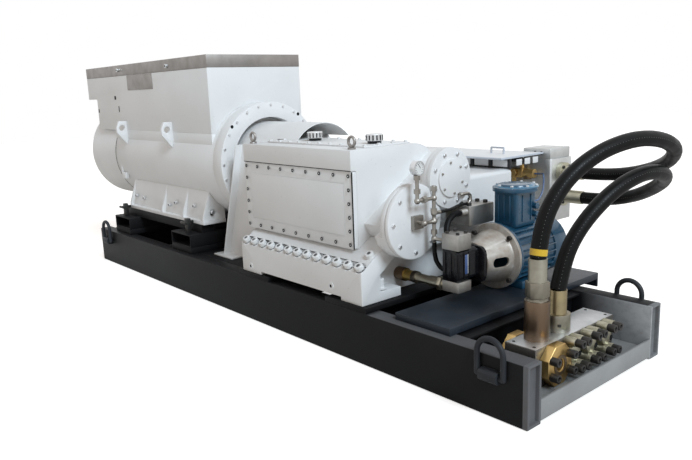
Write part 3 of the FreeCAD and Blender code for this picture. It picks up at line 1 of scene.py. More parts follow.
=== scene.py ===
# %% [markdown]
# This lesson dresses a high pressure emulsion pump set: an electric motor, a plunger pump, a small oil
# pump and a delivery manifold on one welded skid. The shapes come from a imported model. Each later cell
# adds finishes, fasteners, hoses or small fittings, and measures most of its places from that model.

import json
import math

import bmesh
import bpy
from mathutils import Matrix, Vector

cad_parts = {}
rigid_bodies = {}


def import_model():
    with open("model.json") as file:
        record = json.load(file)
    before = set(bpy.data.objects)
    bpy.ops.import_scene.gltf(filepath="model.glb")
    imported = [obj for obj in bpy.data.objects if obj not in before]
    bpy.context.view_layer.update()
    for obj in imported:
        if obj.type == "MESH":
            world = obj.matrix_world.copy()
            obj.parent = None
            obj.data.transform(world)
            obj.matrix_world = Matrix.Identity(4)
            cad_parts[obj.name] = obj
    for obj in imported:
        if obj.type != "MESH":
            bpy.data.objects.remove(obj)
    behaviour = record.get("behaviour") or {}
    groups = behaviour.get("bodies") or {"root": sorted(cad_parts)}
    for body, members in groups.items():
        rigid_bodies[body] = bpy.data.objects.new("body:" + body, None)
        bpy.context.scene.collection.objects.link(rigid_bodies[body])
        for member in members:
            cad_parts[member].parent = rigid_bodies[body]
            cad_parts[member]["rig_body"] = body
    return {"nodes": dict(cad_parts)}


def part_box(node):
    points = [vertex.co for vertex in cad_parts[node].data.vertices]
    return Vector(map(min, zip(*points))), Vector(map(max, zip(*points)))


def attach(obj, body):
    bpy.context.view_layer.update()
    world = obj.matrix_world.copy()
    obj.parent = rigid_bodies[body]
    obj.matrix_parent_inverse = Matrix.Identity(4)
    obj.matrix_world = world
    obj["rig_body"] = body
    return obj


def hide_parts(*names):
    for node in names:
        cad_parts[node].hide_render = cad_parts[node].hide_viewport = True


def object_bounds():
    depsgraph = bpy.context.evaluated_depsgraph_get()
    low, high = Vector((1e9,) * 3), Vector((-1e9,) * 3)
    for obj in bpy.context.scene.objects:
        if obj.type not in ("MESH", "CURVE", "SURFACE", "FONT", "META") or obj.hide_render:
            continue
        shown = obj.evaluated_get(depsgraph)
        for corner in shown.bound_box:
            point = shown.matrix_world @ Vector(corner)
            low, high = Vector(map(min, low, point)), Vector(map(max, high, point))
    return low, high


MM = 0.001
SKID = "root"

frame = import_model()
nodes = frame["nodes"]
cad_low, cad_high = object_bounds()


def box_mm(node):
    """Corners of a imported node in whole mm, which are its sizes before round faces became flats."""
    return [Vector([round(part / MM) for part in corner]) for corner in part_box(node)]


print("nodes", len(nodes), "box", [round(v, 3) for v in (*cad_low, *cad_high)])

# %% [markdown]
# The camera stands off the front corner of the skid, at the height of the motor's hood. Its place and
# its three turns were worked out from the straight edges of the skid, so they are plain numbers here.

# %% Camera
CAMERA_PLACE = Vector((3.442, -2.574, 1.297))
CAMERA_YAW = math.radians(139.585)
CAMERA_PITCH = math.radians(11.625)
CAMERA_ROLL = math.radians(-2.184)
CAMERA_LENS = 35.5


def make_camera():
    forward = Vector((
        math.cos(CAMERA_PITCH) * math.cos(CAMERA_YAW),
        math.cos(CAMERA_PITCH) * math.sin(CAMERA_YAW),
        -math.sin(CAMERA_PITCH),
    ))
    right = Vector((math.sin(CAMERA_YAW), -math.cos(CAMERA_YAW), 0))
    up = right.cross(forward)
    level = Matrix((right, up, -forward)).transposed().to_4x4()
    camera = bpy.data.objects.new("camera", bpy.data.cameras.new("camera"))
    camera.data.lens = CAMERA_LENS
    camera.data.clip_end = 100
    camera.matrix_world = Matrix.Translation(CAMERA_PLACE) @ level @ Matrix.Rotation(CAMERA_ROLL, 4, "Z")
    bpy.context.scene.collection.objects.link(camera)
    bpy.context.scene.camera = camera
    return camera


print("camera at", make_camera().location)

# %% [markdown]
# Finishes are node trees. Two small classes keep them readable: Wire wraps a socket, so that maths on a
# pattern is written as a Python expression, and Finish adds any other node in one call. Patterns read
# Object coordinates, in metres, so they keep their scale on every piece.

# %% Finishes: the two classes
class Wire:
    """One socket of a node tree that Python's operators work on."""

    def __init__(self, finish, socket):
        self.finish = finish
        self.socket = socket

    def maths(self, operation, *values, clamp=False):
        node = self.finish.tree.nodes.new("ShaderNodeMath")
        node.operation = operation
        node.use_clamp = clamp
        for slot, value in zip(node.inputs, values):
            self.finish.feed(slot, value)
        return Wire(self.finish, node.outputs[0])

    def __add__(self, other):
        return self.maths("ADD", self, other)

    def __sub__(self, other):
        return self.maths("SUBTRACT", self, other)

    def __rsub__(self, other):
        return self.maths("SUBTRACT", other, self)

    def __mul__(self, other):
        return self.maths("MULTIPLY", self, other)

    __radd__ = __add__
    __rmul__ = __mul__

    def over(self, edge, softness):
        """0 below an edge, 1 above it, with a soft step between."""
        return self.maths("MULTIPLY", self - (edge - softness / 2), 1 / softness, clamp=True)


SOCKETS = {"mirror": "Specular IOR Level"}
NOISE_ROUGHNESS = 0.55


class Finish:
    """A material: constant sockets are set on the shader, patterns are linked to it."""

    def __init__(self, name, **constants):
        self.material = bpy.data.materials.new(name)
        self.material.use_nodes = True
        self.tree = self.material.node_tree
        self.shader = self.tree.nodes["Principled BSDF"]
        for socket, value in constants.items():
            self.shader.inputs[SOCKETS.get(socket, socket.replace("_", " ").title())].default_value = value
        self.place = self.add("TexCoord").outputs["Object"]

    def feed(self, slot, value):
        if isinstance(value, Wire):
            value = value.socket
        if isinstance(value, bpy.types.NodeSocket):
            self.tree.links.new(value, slot)
        elif isinstance(value, tuple) and len(value) == 3 and slot.type == "RGBA":
            slot.default_value = (*value, 1)
        else:
            slot.default_value = value

    def add(self, kind, settings=None, **inputs):
        node = self.tree.nodes.new("ShaderNode" + kind)
        for key, value in (settings or {}).items():
            setattr(node, key, value)
        for key, value in inputs.items():
            self.feed(node.inputs[key.replace("_", " ")], value)
        return node

    def noise(self, scale, detail=3.0, stretch=(1, 1, 1)):
        spread = self.add("Mapping", Vector=self.place, Scale=stretch)
        node = self.add("TexNoise", Vector=spread.outputs[0], Scale=scale, Detail=detail,
                        Roughness=NOISE_ROUGHNESS)
        return Wire(self, node.outputs["Fac"])

    def along(self, axis):
        parts = self.add("SeparateXYZ", Vector=self.place)
        return Wire(self, parts.outputs[axis])

    def blend(self, factor, first, second):
        node = self.add("Mix", {"data_type": "RGBA"})
        self.feed(node.inputs[0], factor)
        self.feed(node.inputs[6], first)
        self.feed(node.inputs[7], second)
        return Wire(self, node.outputs[2])

    def paint(self, colour):
        self.feed(self.shader.inputs["Base Color"], colour)

    def dull(self, roughness):
        self.feed(self.shader.inputs["Roughness"], roughness)

    def bump(self, height, distance):
        node = self.add("Bump", Height=height, Distance=distance, Strength=1.0)
        self.feed(self.shader.inputs["Normal"], node.outputs[0])


finishes = {}


def new_finish(name, **constants):
    """A finish that pieces find by its name."""
    finish = Finish(name, **constants)
    finishes[name] = finish.material
    return finish


print("shader classes ready")

# %% [markdown]
# The motor, the guard and the pump are sprayed in one thick white enamel. Such a coat has a fine orange
# peel, dark specks, and a film of grease and dust. The dust is a noise, the colour also turns darker
# towards the floor, and the peel is a very fine bump.

# %% White enamel
SPECK_COLOUR = (0.30, 0.27, 0.24)
PEEL = 0.00025


def white_enamel(name, clean, dust_and_low_colour, shine=0.36):
    finish = new_finish(name)
    cloud = finish.noise(2.3, 5)
    # The colour also turns darker towards the floor, from about 0.9 m down, apart from the dust noise.
    low = 1 - finish.along("Z").over(0.55, 0.7)
    dust = (cloud * 0.8 + low * 0.35).over(0.62, 0.5)
    specks = finish.noise(70, 2).over(0.74, 0.06)
    finish.paint(finish.blend(specks * 0.25, finish.blend(dust * 0.55, clean, dust_and_low_colour), SPECK_COLOUR))
    finish.dull(shine + 0.18 * dust)
    finish.bump(finish.noise(140, 2) * 0.6 + finish.noise(9, 2), PEEL)


white_enamel("white_paint", (0.80, 0.80, 0.795), (0.66, 0.65, 0.63))
white_enamel("lid_white", (0.79, 0.795, 0.79), (0.64, 0.64, 0.63), shine=0.30)
print("white enamel", list(finishes))

# %% [markdown]
# The skid is welded from rolled steel and sprayed satin black. The coat is thin: it shows the mill
# scale as a slow bump, and it has patches of dust and scuffs that are paler than the paint. The oil
# platform, the rings, the plates, and the plunger cover with its window frame take the same recipe in
# other colours. On the pale ones the dust is darker than the paint.

# %% Skid paints
SKID_COLOUR = (0.006, 0.006, 0.007)
SKID_DUST = (0.022, 0.021, 0.02)


def mill_scale(finish):
    finish.bump(finish.noise(14, 4) + finish.noise(120, 2) * 0.25, 0.0006)


def structural_paint(name, colour, dust, shine, scuffs=0.2, dusting=0.5, mirror=0.3):
    finish = new_finish(name, mirror=mirror)
    cloud = finish.noise(3.1, 6)
    scuff = finish.noise(26, 4, (1, 1, 2.2)).over(0.66, 0.05) * finish.noise(2.0, 2).over(0.5, 0.2)
    worn = finish.blend(scuff * scuffs, colour, dust)
    finish.paint(finish.blend(cloud.over(0.55, 0.4) * dusting, worn, dust))
    finish.dull(shine + 0.2 * cloud)
    mill_scale(finish)


structural_paint("skid_black", SKID_COLOUR, SKID_DUST, 0.42, dusting=0.3, mirror=0.12)
structural_paint("platform_slate", (0.012, 0.017, 0.024), (0.04, 0.05, 0.065), 0.30, scuffs=0.35, mirror=0.25)
structural_paint("plate_grey", (0.30, 0.30, 0.295), (0.16, 0.155, 0.15), 0.45)
structural_paint("ring_grey", (0.020, 0.022, 0.026), (0.06, 0.064, 0.07), 0.36, mirror=0.2)
structural_paint("window_black", (0.015, 0.016, 0.018), (0.06, 0.06, 0.06), 0.35)
structural_paint("cover_navy", (0.62, 0.66, 0.72), (0.42, 0.46, 0.52), 0.30)
print("with skid paints", len(finishes))

# %% [markdown]
# Bare metals: a brushed stainless rim, the machined steel of the pump head, raw cast iron with brown
# stains, zinc and galvanised pieces, brass and bronze. All take one recipe: metal with a stretched
# noise for the marks of the tool and a slow one for stains.

# %% Bare metals
def bare_metal(name, colour, stain, shine, grain=(1, 1, 1), staining=0.4, metallic=1.0, relief=0.0001):
    finish = new_finish(name, metallic=metallic)
    brushed = finish.noise(160, 3, grain)
    blotch = finish.noise(13, 5).over(0.52, 0.35)
    finish.paint(finish.blend(blotch * staining, colour, stain))
    finish.dull(shine + 0.16 * brushed + 0.12 * blotch)
    finish.bump(brushed, relief)


bare_metal("stainless", (0.33, 0.31, 0.295), (0.20, 0.18, 0.165), 0.34, (0.05, 0.05, 3))
bare_metal("head_steel", (0.62, 0.63, 0.63), (0.40, 0.39, 0.37), 0.30, (1, 1, 0.1))
bare_metal("cast_grey", (0.52, 0.50, 0.47), (0.26, 0.19, 0.13), 0.38, staining=0.75, metallic=0.85,
           relief=0.0006)
bare_metal("brass", (0.60, 0.42, 0.17), (0.32, 0.17, 0.07), 0.26)
bare_metal("bronze", (0.20, 0.15, 0.095), (0.10, 0.07, 0.045), 0.32)
bare_metal("zinc", (0.50, 0.48, 0.38), (0.30, 0.26, 0.17), 0.28)
bare_metal("galvanised", (0.72, 0.73, 0.74), (0.45, 0.46, 0.47), 0.25)
bare_metal("pipe_steel", (0.38, 0.36, 0.33), (0.17, 0.13, 0.10), 0.28)
bare_metal("block_steel", (0.20, 0.19, 0.175), (0.10, 0.085, 0.07), 0.33)
bare_metal("port_silver", (0.44, 0.43, 0.41), (0.26, 0.23, 0.20), 0.34, staining=0.7)
bare_metal("screw_black", (0.045, 0.044, 0.044), (0.09, 0.075, 0.06), 0.33, metallic=0.7)
print("with bare metals", len(finishes))

# %% [markdown]
# Gloss paints on the small machines: the oil pump is black with a high shine, the flange motor and its
# terminal box are blue, and the lighter blue of the box's lid is a painted highlight. The shine comes from a
# clear coat over a slightly uneven colour. Without the coat, the same recipe gives the black and the grey
# that paint shade into holes, sockets and spot faces, and the grey of the hose dots. Rubber is duller, with
# the fine weave of a cloth cover.

# %% Gloss paints and rubber
def gloss_paint(name, colour, shade, shine, coat=0.4, mirror=0.5):
    finish = new_finish(name, coat_weight=coat, coat_roughness=0.12, mirror=mirror)
    cloud = finish.noise(11, 4).over(0.5, 0.5)
    finish.paint(finish.blend(cloud * 0.6, colour, shade))
    finish.dull(shine + 0.15 * cloud)
    finish.bump(finish.noise(90, 2), 0.0002)


gloss_paint("motor_blue", (0.014, 0.085, 0.155), (0.008, 0.05, 0.10), 0.24)
# Painted highlight: a lighter blue for the lit top of the terminal box's lid.
gloss_paint("painted_highlight_blue", (0.06, 0.21, 0.33), (0.04, 0.16, 0.27), 0.2)
gloss_paint("pump_black", (0.004, 0.004, 0.006), (0.008, 0.008, 0.01), 0.16, coat=0.12, mirror=0.25)
gloss_paint("stripe_blue", (0.05, 0.11, 0.30), (0.04, 0.08, 0.22), 0.3)
gloss_paint("band_yellow", (0.72, 0.46, 0.01), (0.55, 0.33, 0.01), 0.3)
gloss_paint("cable_blue", (0.02, 0.09, 0.25), (0.02, 0.07, 0.18), 0.35)
gloss_paint("dial_white", (0.78, 0.78, 0.76), (0.70, 0.70, 0.68), 0.2)
# hole_black paints the shade inside holes, slots and counterbores; it also colours dark joints and the
# gauge's printed marks.
gloss_paint("hole_black", (0.006, 0.006, 0.006), (0.01, 0.01, 0.01), 0.6, coat=0, mirror=0.1)
# Painted shade: a grey for the inside of screw sockets and for the spot faces' crescents of shadow.
gloss_paint("painted_shade_grey", (0.10, 0.10, 0.10), (0.05, 0.05, 0.05), 0.5, coat=0)
gloss_paint("dot_grey", (0.13, 0.13, 0.127), (0.06, 0.06, 0.058), 0.5, coat=0)


def rubber(name, colour, worn_colour):
    finish = new_finish(name, mirror=0.12)
    cloth = finish.noise(260, 2)
    worn = finish.noise(17, 5).over(0.55, 0.3)
    finish.paint(finish.blend(worn * 0.35, colour, worn_colour))
    finish.dull(0.36 + 0.16 * worn)
    finish.bump(cloth + 0.5 * worn, 0.0003)


rubber("hose_black", (0.005, 0.005, 0.005), (0.013, 0.012, 0.011))
print("with gloss paints and rubber", len(finishes))

# %% [markdown]
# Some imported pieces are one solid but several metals: a hose fitting has a brown sleeve, a nut and a
# plated ferrule. Their colour changes at set places along one axis, and one stain lies over all.

# %% Metals that change along a piece
BAND_BLUR = 0.002
SLEEVE_TOP = 0.405
NUT_TOP = 0.486
BASE_TOP = 0.311
BETWEEN_FITTINGS = -0.12


def banded(finish, axis, first, steps):
    """A colour that changes at each (place in metres, colour) along an axis."""
    colour = first
    for place, other in steps:
        colour = finish.blend(finish.along(axis).over(place, BAND_BLUR), colour, other)
    return colour


def stained_metal(finish, colour, stain):
    blotch = finish.noise(18, 5).over(0.5, 0.35)
    finish.paint(finish.blend(blotch * 0.4, colour, stain))
    finish.dull(0.3 + 0.14 * blotch)
    finish.bump(finish.noise(150, 3), 0.0001)


def fitting_metal(name):
    """The upper hose's fitting is a sleeve, a nut and a ferrule, the lower one a base and a ferrule."""
    finish = new_finish(name, metallic=1.0)
    upper_steps = [(SLEEVE_TOP, (0.30, 0.28, 0.23)), (NUT_TOP, (0.34, 0.33, 0.27))]
    lower_steps = [(BASE_TOP, (0.34, 0.28, 0.16))]
    upper = banded(finish, "Z", (0.18, 0.125, 0.085), upper_steps)
    lower = banded(finish, "Z", (0.30, 0.29, 0.24), lower_steps)
    both = finish.blend(finish.along("Y").over(BETWEEN_FITTINGS, 2 * BAND_BLUR), upper, lower)
    stained_metal(finish, both, (0.14, 0.10, 0.07))


def suction_metal(name):
    """The suction pipe goes from brown steel to brass, a dark nut and a plated end."""
    finish = new_finish(name, metallic=1.0)
    steps = [(1.101, (0.55, 0.38, 0.10)), (1.151, (0.10, 0.085, 0.07)), (1.179, (0.50, 0.46, 0.36))]
    stained_metal(finish, banded(finish, "X", (0.20, 0.14, 0.09), steps), (0.13, 0.10, 0.07))


fitting_metal("fitting_metal")
suction_metal("suction_metal")
print("with banded metals", len(finishes))

# %% [markdown]
# The same trick makes a beam paler in places. The far beam's inner face near the front gets a pale
# grey as a painted reflection, and the near beam a paler top in front of the pump. Both have pale front
# ends. Each mask is 0 on the black paint and 1 where the paler colour is laid.

# %% Beam paints with paler places
BEAM_LOW, BEAM_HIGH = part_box("skid_beam_far")
SKIN = 0.0025
END_DEPTH = 0.023
REFLECTION_FROM = 1.87
REFLECTION_BLEND = 0.34
STEP_FROM = 1.18


# bare is the paler colour that a mask lays over the black; on the far beam's inner face it is a painted
# reflection.
def beam_paint(name, bare, mask_of):
    finish = new_finish(name, mirror=0.15)
    cloud = finish.noise(3.1, 6)
    grain = finish.noise(30, 4).over(0.6, 0.3)
    black = finish.blend(cloud.over(0.55, 0.4) * 0.3, SKID_COLOUR, SKID_DUST)
    shown = finish.blend(grain * 0.3, bare, (0.10, 0.09, 0.08))
    finish.paint(finish.blend(mask_of(finish), black, shown))
    finish.dull(0.42 + 0.15 * cloud)
    mill_scale(finish)


def front_end(finish):
    return finish.along("X").over(BEAM_HIGH.x - END_DEPTH, BAND_BLUR)


# Painted reflection: the far beam's inner face is pale near the front.
def far_reflection_mask(finish):
    front = finish.along("X").over(REFLECTION_FROM, REFLECTION_BLEND)
    inner = 1 - finish.along("Y").over(BEAM_LOW.y + SKIN, 0.003)
    both = front * inner + front_end(finish) * 0.4
    return both.maths("MINIMUM", both, 1.0)


def near_mask(finish):
    top = finish.along("Z").over(BEAM_HIGH.z - SKIN, BAND_BLUR) * finish.along("X").over(STEP_FROM, 0.03)
    return top.maths("MAXIMUM", top * 0.7, front_end(finish))


beam_paint("far_beam_paint", (0.46, 0.47, 0.48), far_reflection_mask)
beam_paint("near_beam_paint", (0.125, 0.125, 0.13), near_mask)
print("all finishes", len(finishes))

# %% [markdown]
# Two heavy hoses leave the front of the pump's head, rise in a wide loop and come down into the manifold.
# A hose that is held at both ends is a fixed length that bends evenly, so each is one smooth spline on
# listed control points, the same points that the solid model uses. A thin blue cable joins the head's
# valve to the terminal box. Its length is printed here, and the hoses' lengths once they carry their marks.

# %% Hoses and the valve cable
HOSE_DIAMETER = 70
CABLE_DIAMETER = 10
STEPS_A_POINT = 10
ROUNDNESS = 7

UPPER_ROUTE = [
    (1330, 1068, 765), (1470, 1068, 765), (1640, 1046, 790), (1805, 962, 838), (1948, 818, 905),
    (2036, 645, 980), (2046, 470, 1032), (2016, 290, 1046), (1962, 110, 1006), (1912, -35, 920),
    (1882, -130, 812), (1870, -182, 690), (1870, -198, 585),
]
LOWER_ROUTE = [
    (1330, 1068, 620), (1470, 1068, 620), (1645, 1038, 660), (1800, 935, 728), (1928, 795, 800),
    (2002, 620, 862), (2000, 440, 885), (1965, 275, 840), (1925, 140, 750), (1892, 38, 640),
    (1877, -18, 530), (1870, -42, 417),
]
CABLE_ROUTE = [
    (1090, 929, 762), (1122, 929, 762), (1158, 913, 768), (1190, 868, 766), (1234, 806, 744),
    (1285, 725, 717), (1335, 634, 699), (1375, 553, 690), (1408, 492, 690), (1408, 426, 690),
]


def add_object(name, data):
    piece = bpy.data.objects.new(name, data)
    bpy.context.scene.collection.objects.link(piece)
    return piece


def hose_line(name, route, diameter):
    """A round hose on one smooth spline with the route's points as its control points."""
    curve = bpy.data.curves.new(name, "CURVE")
    curve.dimensions = "3D"
    curve.resolution_u = STEPS_A_POINT
    curve.bevel_depth = diameter * MM / 2
    curve.bevel_resolution = ROUNDNESS
    spline = curve.splines.new("NURBS")
    spline.points.add(len(route) - 1)
    for point, place in zip(spline.points, route):
        point.co = (*(Vector(place) * MM), 1)
    spline.order_u = 3
    spline.use_endpoint_u = True
    return add_object(name, curve)


def run_length(route):
    """Length of the smooth line: halfway between its control runs and the arcs inside them."""
    stops = [Vector(place) * MM for place in route]
    middles = [stops[0]] + [(a + b) / 2 for a, b in zip(stops[1:], stops[2:-1])] + [stops[-1]]
    chords = sum((b - a).length for a, b in zip(middles, middles[1:]))
    runs = sum((b - a).length for a, b in zip(stops, stops[1:]))
    return (chords * 2 + runs) / 3


def free_cord(name, node, route, diameter, slot):
    line = hose_line(name, route, diameter)
    line.data.materials.append(finishes[slot])
    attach(line, SKID)
    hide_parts(node)
    return line


def declare_cord(line, route):
    run_length(route)
    print(line.name, "length", round(run_length(route), 3))


upper_hose = free_cord("delivery_hose_upper", "hose_upper", UPPER_ROUTE, HOSE_DIAMETER, "hose_black")
lower_hose = free_cord("delivery_hose_lower", "hose_lower", LOWER_ROUTE, HOSE_DIAMETER, "hose_black")
valve_lead = free_cord("valve_lead", "valve_cable", CABLE_ROUTE, CABLE_DIAMETER, "cable_blue")
declare_cord(valve_lead, CABLE_ROUTE)

# %% [markdown]
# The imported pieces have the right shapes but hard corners. Real plate has a cut or cast edge that
# catches the light, so each piece is copied, its loose triangles are merged, and its sharp edges get a
# small bevel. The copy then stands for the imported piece.

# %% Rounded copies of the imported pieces
SHARP = math.radians(32)
FLAT = math.radians(0.6)
WELD = 1e-5
EDGE_SEGMENTS = 2


def finish_mesh(mesh):
    mesh.polygons.foreach_set("use_smooth", [True] * len(mesh.polygons))
    mesh.set_sharp_from_angle(angle=SHARP)
    mesh.update()


def rounded_copy(node, slot, width, finish=None):
    """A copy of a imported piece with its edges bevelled, riding where the piece rides."""
    bm = bmesh.new()
    bm.from_mesh(nodes[node].data)
    bmesh.ops.remove_doubles(bm, verts=bm.verts, dist=WELD)
    bmesh.ops.dissolve_limit(bm, angle_limit=FLAT, verts=bm.verts, edges=bm.edges)
    if width:
        edges = [e for e in bm.edges if len(e.link_faces) == 2 and e.calc_face_angle(0) > SHARP]
        bmesh.ops.bevel(bm, geom=edges, offset=width * MM, offset_type="OFFSET", affect="EDGES",
                        segments=EDGE_SEGMENTS, profile=0.5, material=-1, clamp_overlap=False)
    mesh = bpy.data.meshes.new(node + "_finished")
    bm.to_mesh(mesh)
    bm.free()
    finish_mesh(mesh)
    piece = add_object(node + "_finished", mesh)
    mesh.materials.append(finishes[finish or slot])
    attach(piece, nodes[node]["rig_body"])
    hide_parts(node)


# Each row: the slot, the bevel in mm, and the finish where it isn't the slot's own.
ROUNDED = {
    "skid_beam_near": ("skid_black", 3, "near_beam_paint"),
    "skid_beam_far": ("skid_black", 3, "far_beam_paint"),
    "skid_cross_members": ("skid_black", 2), "skid_deck": ("skid_black", 1.5),
    "pump_base_bars": ("skid_black", 2), "motor_cross_beams": ("skid_black", 3),
    "cross_beam_pads": ("skid_black", 2), "motor_rails": ("skid_black", 2),
    "jacking_screws": ("screw_black", 1), "manifold_floor": ("plate_grey", 1.5),
    "lifting_lugs": ("ring_grey", 2), "ring_near_front": ("ring_grey", 0),
    "ring_near_rear": ("ring_grey", 0), "ring_far_front": ("ring_grey", 0),
    "ring_far_rear": ("ring_grey", 0),
    "motor_body": ("white_paint", 3), "motor_rear_cowl": ("white_paint", 0),
    "motor_front_flange": ("white_paint", 4), "motor_hood": ("white_paint", 4),
    "hood_rim": ("stainless", 2), "motor_lifting_plates": ("white_paint", 3),
    "motor_feet": ("white_paint", 3), "coupling_guard": ("white_paint", 1.5),
    "guard_stands": ("white_paint", 2),
    "lower_casing": ("white_paint", 3), "upper_casing": ("white_paint", 3),
    "side_lid": ("white_paint", 3, "lid_white"),
    "top_cover": ("white_paint", 2), "crank_bearing_cover": ("white_paint", 12),
    "input_bearing_cover": ("white_paint", 4), "eyebolts": ("galvanised", 0, "stainless"),
    "crosshead_housing": ("white_paint", 4), "plunger_chamber": ("white_paint", 2),
    "window_frame": ("cover_navy", 1, "window_black"), "plunger_cover": ("cover_navy", 1),
    "pump_head": ("head_steel", 2), "head_top_block": ("head_steel", 3),
    "head_outlets": ("zinc", 2), "head_valve": ("brass", 2),
    "lube_platform": ("platform_slate", 2), "lube_motor": ("motor_blue", 3),
    "lube_terminal_box": ("motor_blue", 3), "bell_housing": ("cast_grey", 2),
    "gear_pump": ("pump_black", 3), "pump_port_blocks": ("galvanised", 2, "port_silver"),
    "lube_valve_block": ("cast_grey", 2, "port_silver"),
    "suction_pipe": ("pipe_steel", 1.5, "suction_metal"),
    "gauge_pipework": ("pipe_steel", 0), "pressure_gauge": ("stainless", 2, "galvanised"),
    "oil_hoses": ("hose_black", 0),
    "manifold_block": ("bronze", 2, "block_steel"), "manifold_flanges": ("brass", 3),
    "small_port_flanges": ("zinc", 2), "manifold_screws": ("screw_black", 1.5),
    "hose_fittings": ("bronze", 1.5, "fitting_metal"),
}


def round_all():
    for node, (slot, width, *finish) in ROUNDED.items():
        rounded_copy(node, slot, width, *finish)
    print("rounded copies", len(ROUNDED))


round_all()

# %% [markdown]
# Screws, plugs and bolts are what make a machine look real, and there are hundreds. Each kind is one
# small form, turned round an axis from a short outline of radii and heights. A spin makes it in one
# step, and the number of sides decides whether it is round or a hexagon.

# %% Forms for fasteners
ALONG_X = (1, 0, 0)
REARWARD = (-1, 0, 0)
NEAR_SIDE = (0, -1, 0)
FAR_SIDE = (0, 1, 0)
UP = (0, 0, 1)


def turned_form(name, outline, sides=16):
    """A mesh turned round Z from an outline of (radius, height) pairs, standing on its own foot."""
    bm = bmesh.new()
    verts = [bm.verts.new((radius * MM, 0, height * MM)) for radius, height in outline]
    edges = [bm.edges.new(pair) for pair in zip(verts, verts[1:])]
    bmesh.ops.spin(bm, geom=verts + edges, cent=(0, 0, 0), axis=UP, dvec=(0, 0, 0),
                   angle=math.tau, steps=sides, use_merge=True)
    bmesh.ops.remove_doubles(bm, verts=bm.verts, dist=WELD)
    bmesh.ops.recalc_face_normals(bm, faces=bm.faces)
    mesh = bpy.data.meshes.new(name)
    bm.to_mesh(mesh)
    bm.free()
    return mesh


def head_form(name, radius, height, sides=16):
    """A screw head with a chamfered rim; six sides make a hexagon."""
    rim = min(radius, height) * 0.22
    return turned_form(name, [(0, 0), (radius, 0), (radius, height - rim), (radius - rim, height),
                              (0, height)], sides)


def socket_form(name, radius, height, sides=18):
    """A cap screw's head with the key's hole in its top."""
    rim = radius * 0.12
    hole = radius * 0.5
    floor = height * 0.45
    return turned_form(name, [(0, 0), (radius, 0), (radius, height - rim), (radius - rim, height),
                              (hole, height), (hole, floor), (0, floor)], sides)


def ring_form(name, outer, inner, height, sides=48):
    return turned_form(name, [(inner, 0), (outer, 0), (outer, height), (inner, height), (inner, 0)], sides)


DISC_DEPTH = 0.8
STUD_HEIGHT = 16
small_head = head_form("small head", 9, 7, 6)
stud_head = head_form("stud head", 14, STUD_HEIGHT)
dark_dot = head_form("dark dot", 11, DISC_DEPTH)
dark_spot = head_form("dark spot", 7, DISC_DEPTH)
print("a small head has", len(small_head.polygons), "faces")

# %% [markdown]
# A tray gathers the copies of a form that share one finish into one piece, which keeps the scene light
# and rides on the skid as a whole. A tray also takes small blocks with bevelled edges, turned if need
# be. Two helpers give places on a circle and evenly along a line.

# %% Trays that hold small parts
class Tray:
    """Small parts of one finish, gathered in one piece."""

    def __init__(self, name, slot, finish=None):
        self.name = name
        self.slot = slot
        self.finish = finish or slot
        self.bm = bmesh.new()

    def put(self, form, places, axis=UP):
        """Stands a copy of a form at each place, with its height along the axis."""
        stand = Vector(axis).to_track_quat("Z", "Y").to_matrix().to_4x4()
        for place in places:
            known = set(self.bm.verts)
            self.bm.from_mesh(form)
            added = [vert for vert in self.bm.verts if vert not in known]
            bmesh.ops.transform(self.bm, matrix=Matrix.Translation(Vector(place) * MM) @ stand, verts=added)

    def block(self, low, high, bevel=0.0, tilt=None):
        """A block between two corners, turned about its middle."""
        low, high = Vector(low) * MM, Vector(high) * MM
        size = Matrix.Diagonal((high - low).to_4d())
        size[3][3] = 1
        spot = Matrix.Translation((low + high) / 2) @ (tilt or Matrix.Identity(4)) @ size
        made = bmesh.ops.create_cube(self.bm, size=1, matrix=spot)
        if bevel:
            edges = list({edge for vert in made["verts"] for edge in vert.link_edges})
            bmesh.ops.bevel(self.bm, geom=edges, offset=bevel * MM, offset_type="OFFSET", affect="EDGES",
                            segments=EDGE_SEGMENTS, profile=0.5, material=-1)

    def close(self, *nodes_replaced):
        mesh = bpy.data.meshes.new(self.name)
        self.bm.to_mesh(mesh)
        self.bm.free()
        finish_mesh(mesh)
        piece = add_object(self.name, mesh)
        mesh.materials.append(finishes[self.finish])
        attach(piece, SKID)
        if nodes_replaced:
            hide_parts(*nodes_replaced)
        return piece


def close_all(*trays):
    for tray in trays:
        tray.close()
    print("closed", [tray.name for tray in trays])


def round_places(centre, radius, count, first, plane="YZ"):
    """Places evenly round a circle; the first angle is in degrees."""
    across, up = ("XYZ".index(axis) for axis in plane)
    places = []
    for index in range(count):
        angle = math.radians(first) + math.tau * index / count
        place = list(centre)
        place[across] += radius * math.cos(angle)
        place[up] += radius * math.sin(angle)
        places.append(place)
    return places


def spaced(first, last, count):
    return [first + (last - first) * index / (count - 1) for index in range(count)]


print("two places on a circle", round_places((0, 0, 0), 1, 2, 0))

# %% [markdown]
# Each hose carries a line of small grey dots along its cover, the plain kind that shows a fitter whether
# the hose is twisted, and the upper one has a yellow band above its fitting. Both follow points that are
# read back from the hose's own smooth line, so they sit on its surface all the way. With its marks made,
# each hose's length is printed.

# %% Marks on the hoses
DOT_STEP = 15
DOT_OUTLINE = [(0, 0), (1.7, 0), (1.4, 0.6), (0, 0.6)]
DOT_SINK = 0.25
LINE_SIDE = Vector((0.55, -0.75, 0.15))
BAND_FROM_END = 12
BAND_WIDTH = 27
BAND_PROUD = 1.6
BAND_SINK = 1


def line_points(line):
    """Points of a hose's centreline in mm, from a copy of its curve without thickness."""
    bare = line.data.copy()
    bare.bevel_depth = 0
    probe = add_object("probe", bare)
    mesh = bpy.data.meshes.new_from_object(probe)
    points = [vert.co / MM for vert in mesh.vertices]
    bpy.data.objects.remove(probe)
    bpy.data.curves.remove(bare)
    bpy.data.meshes.remove(mesh)
    return points


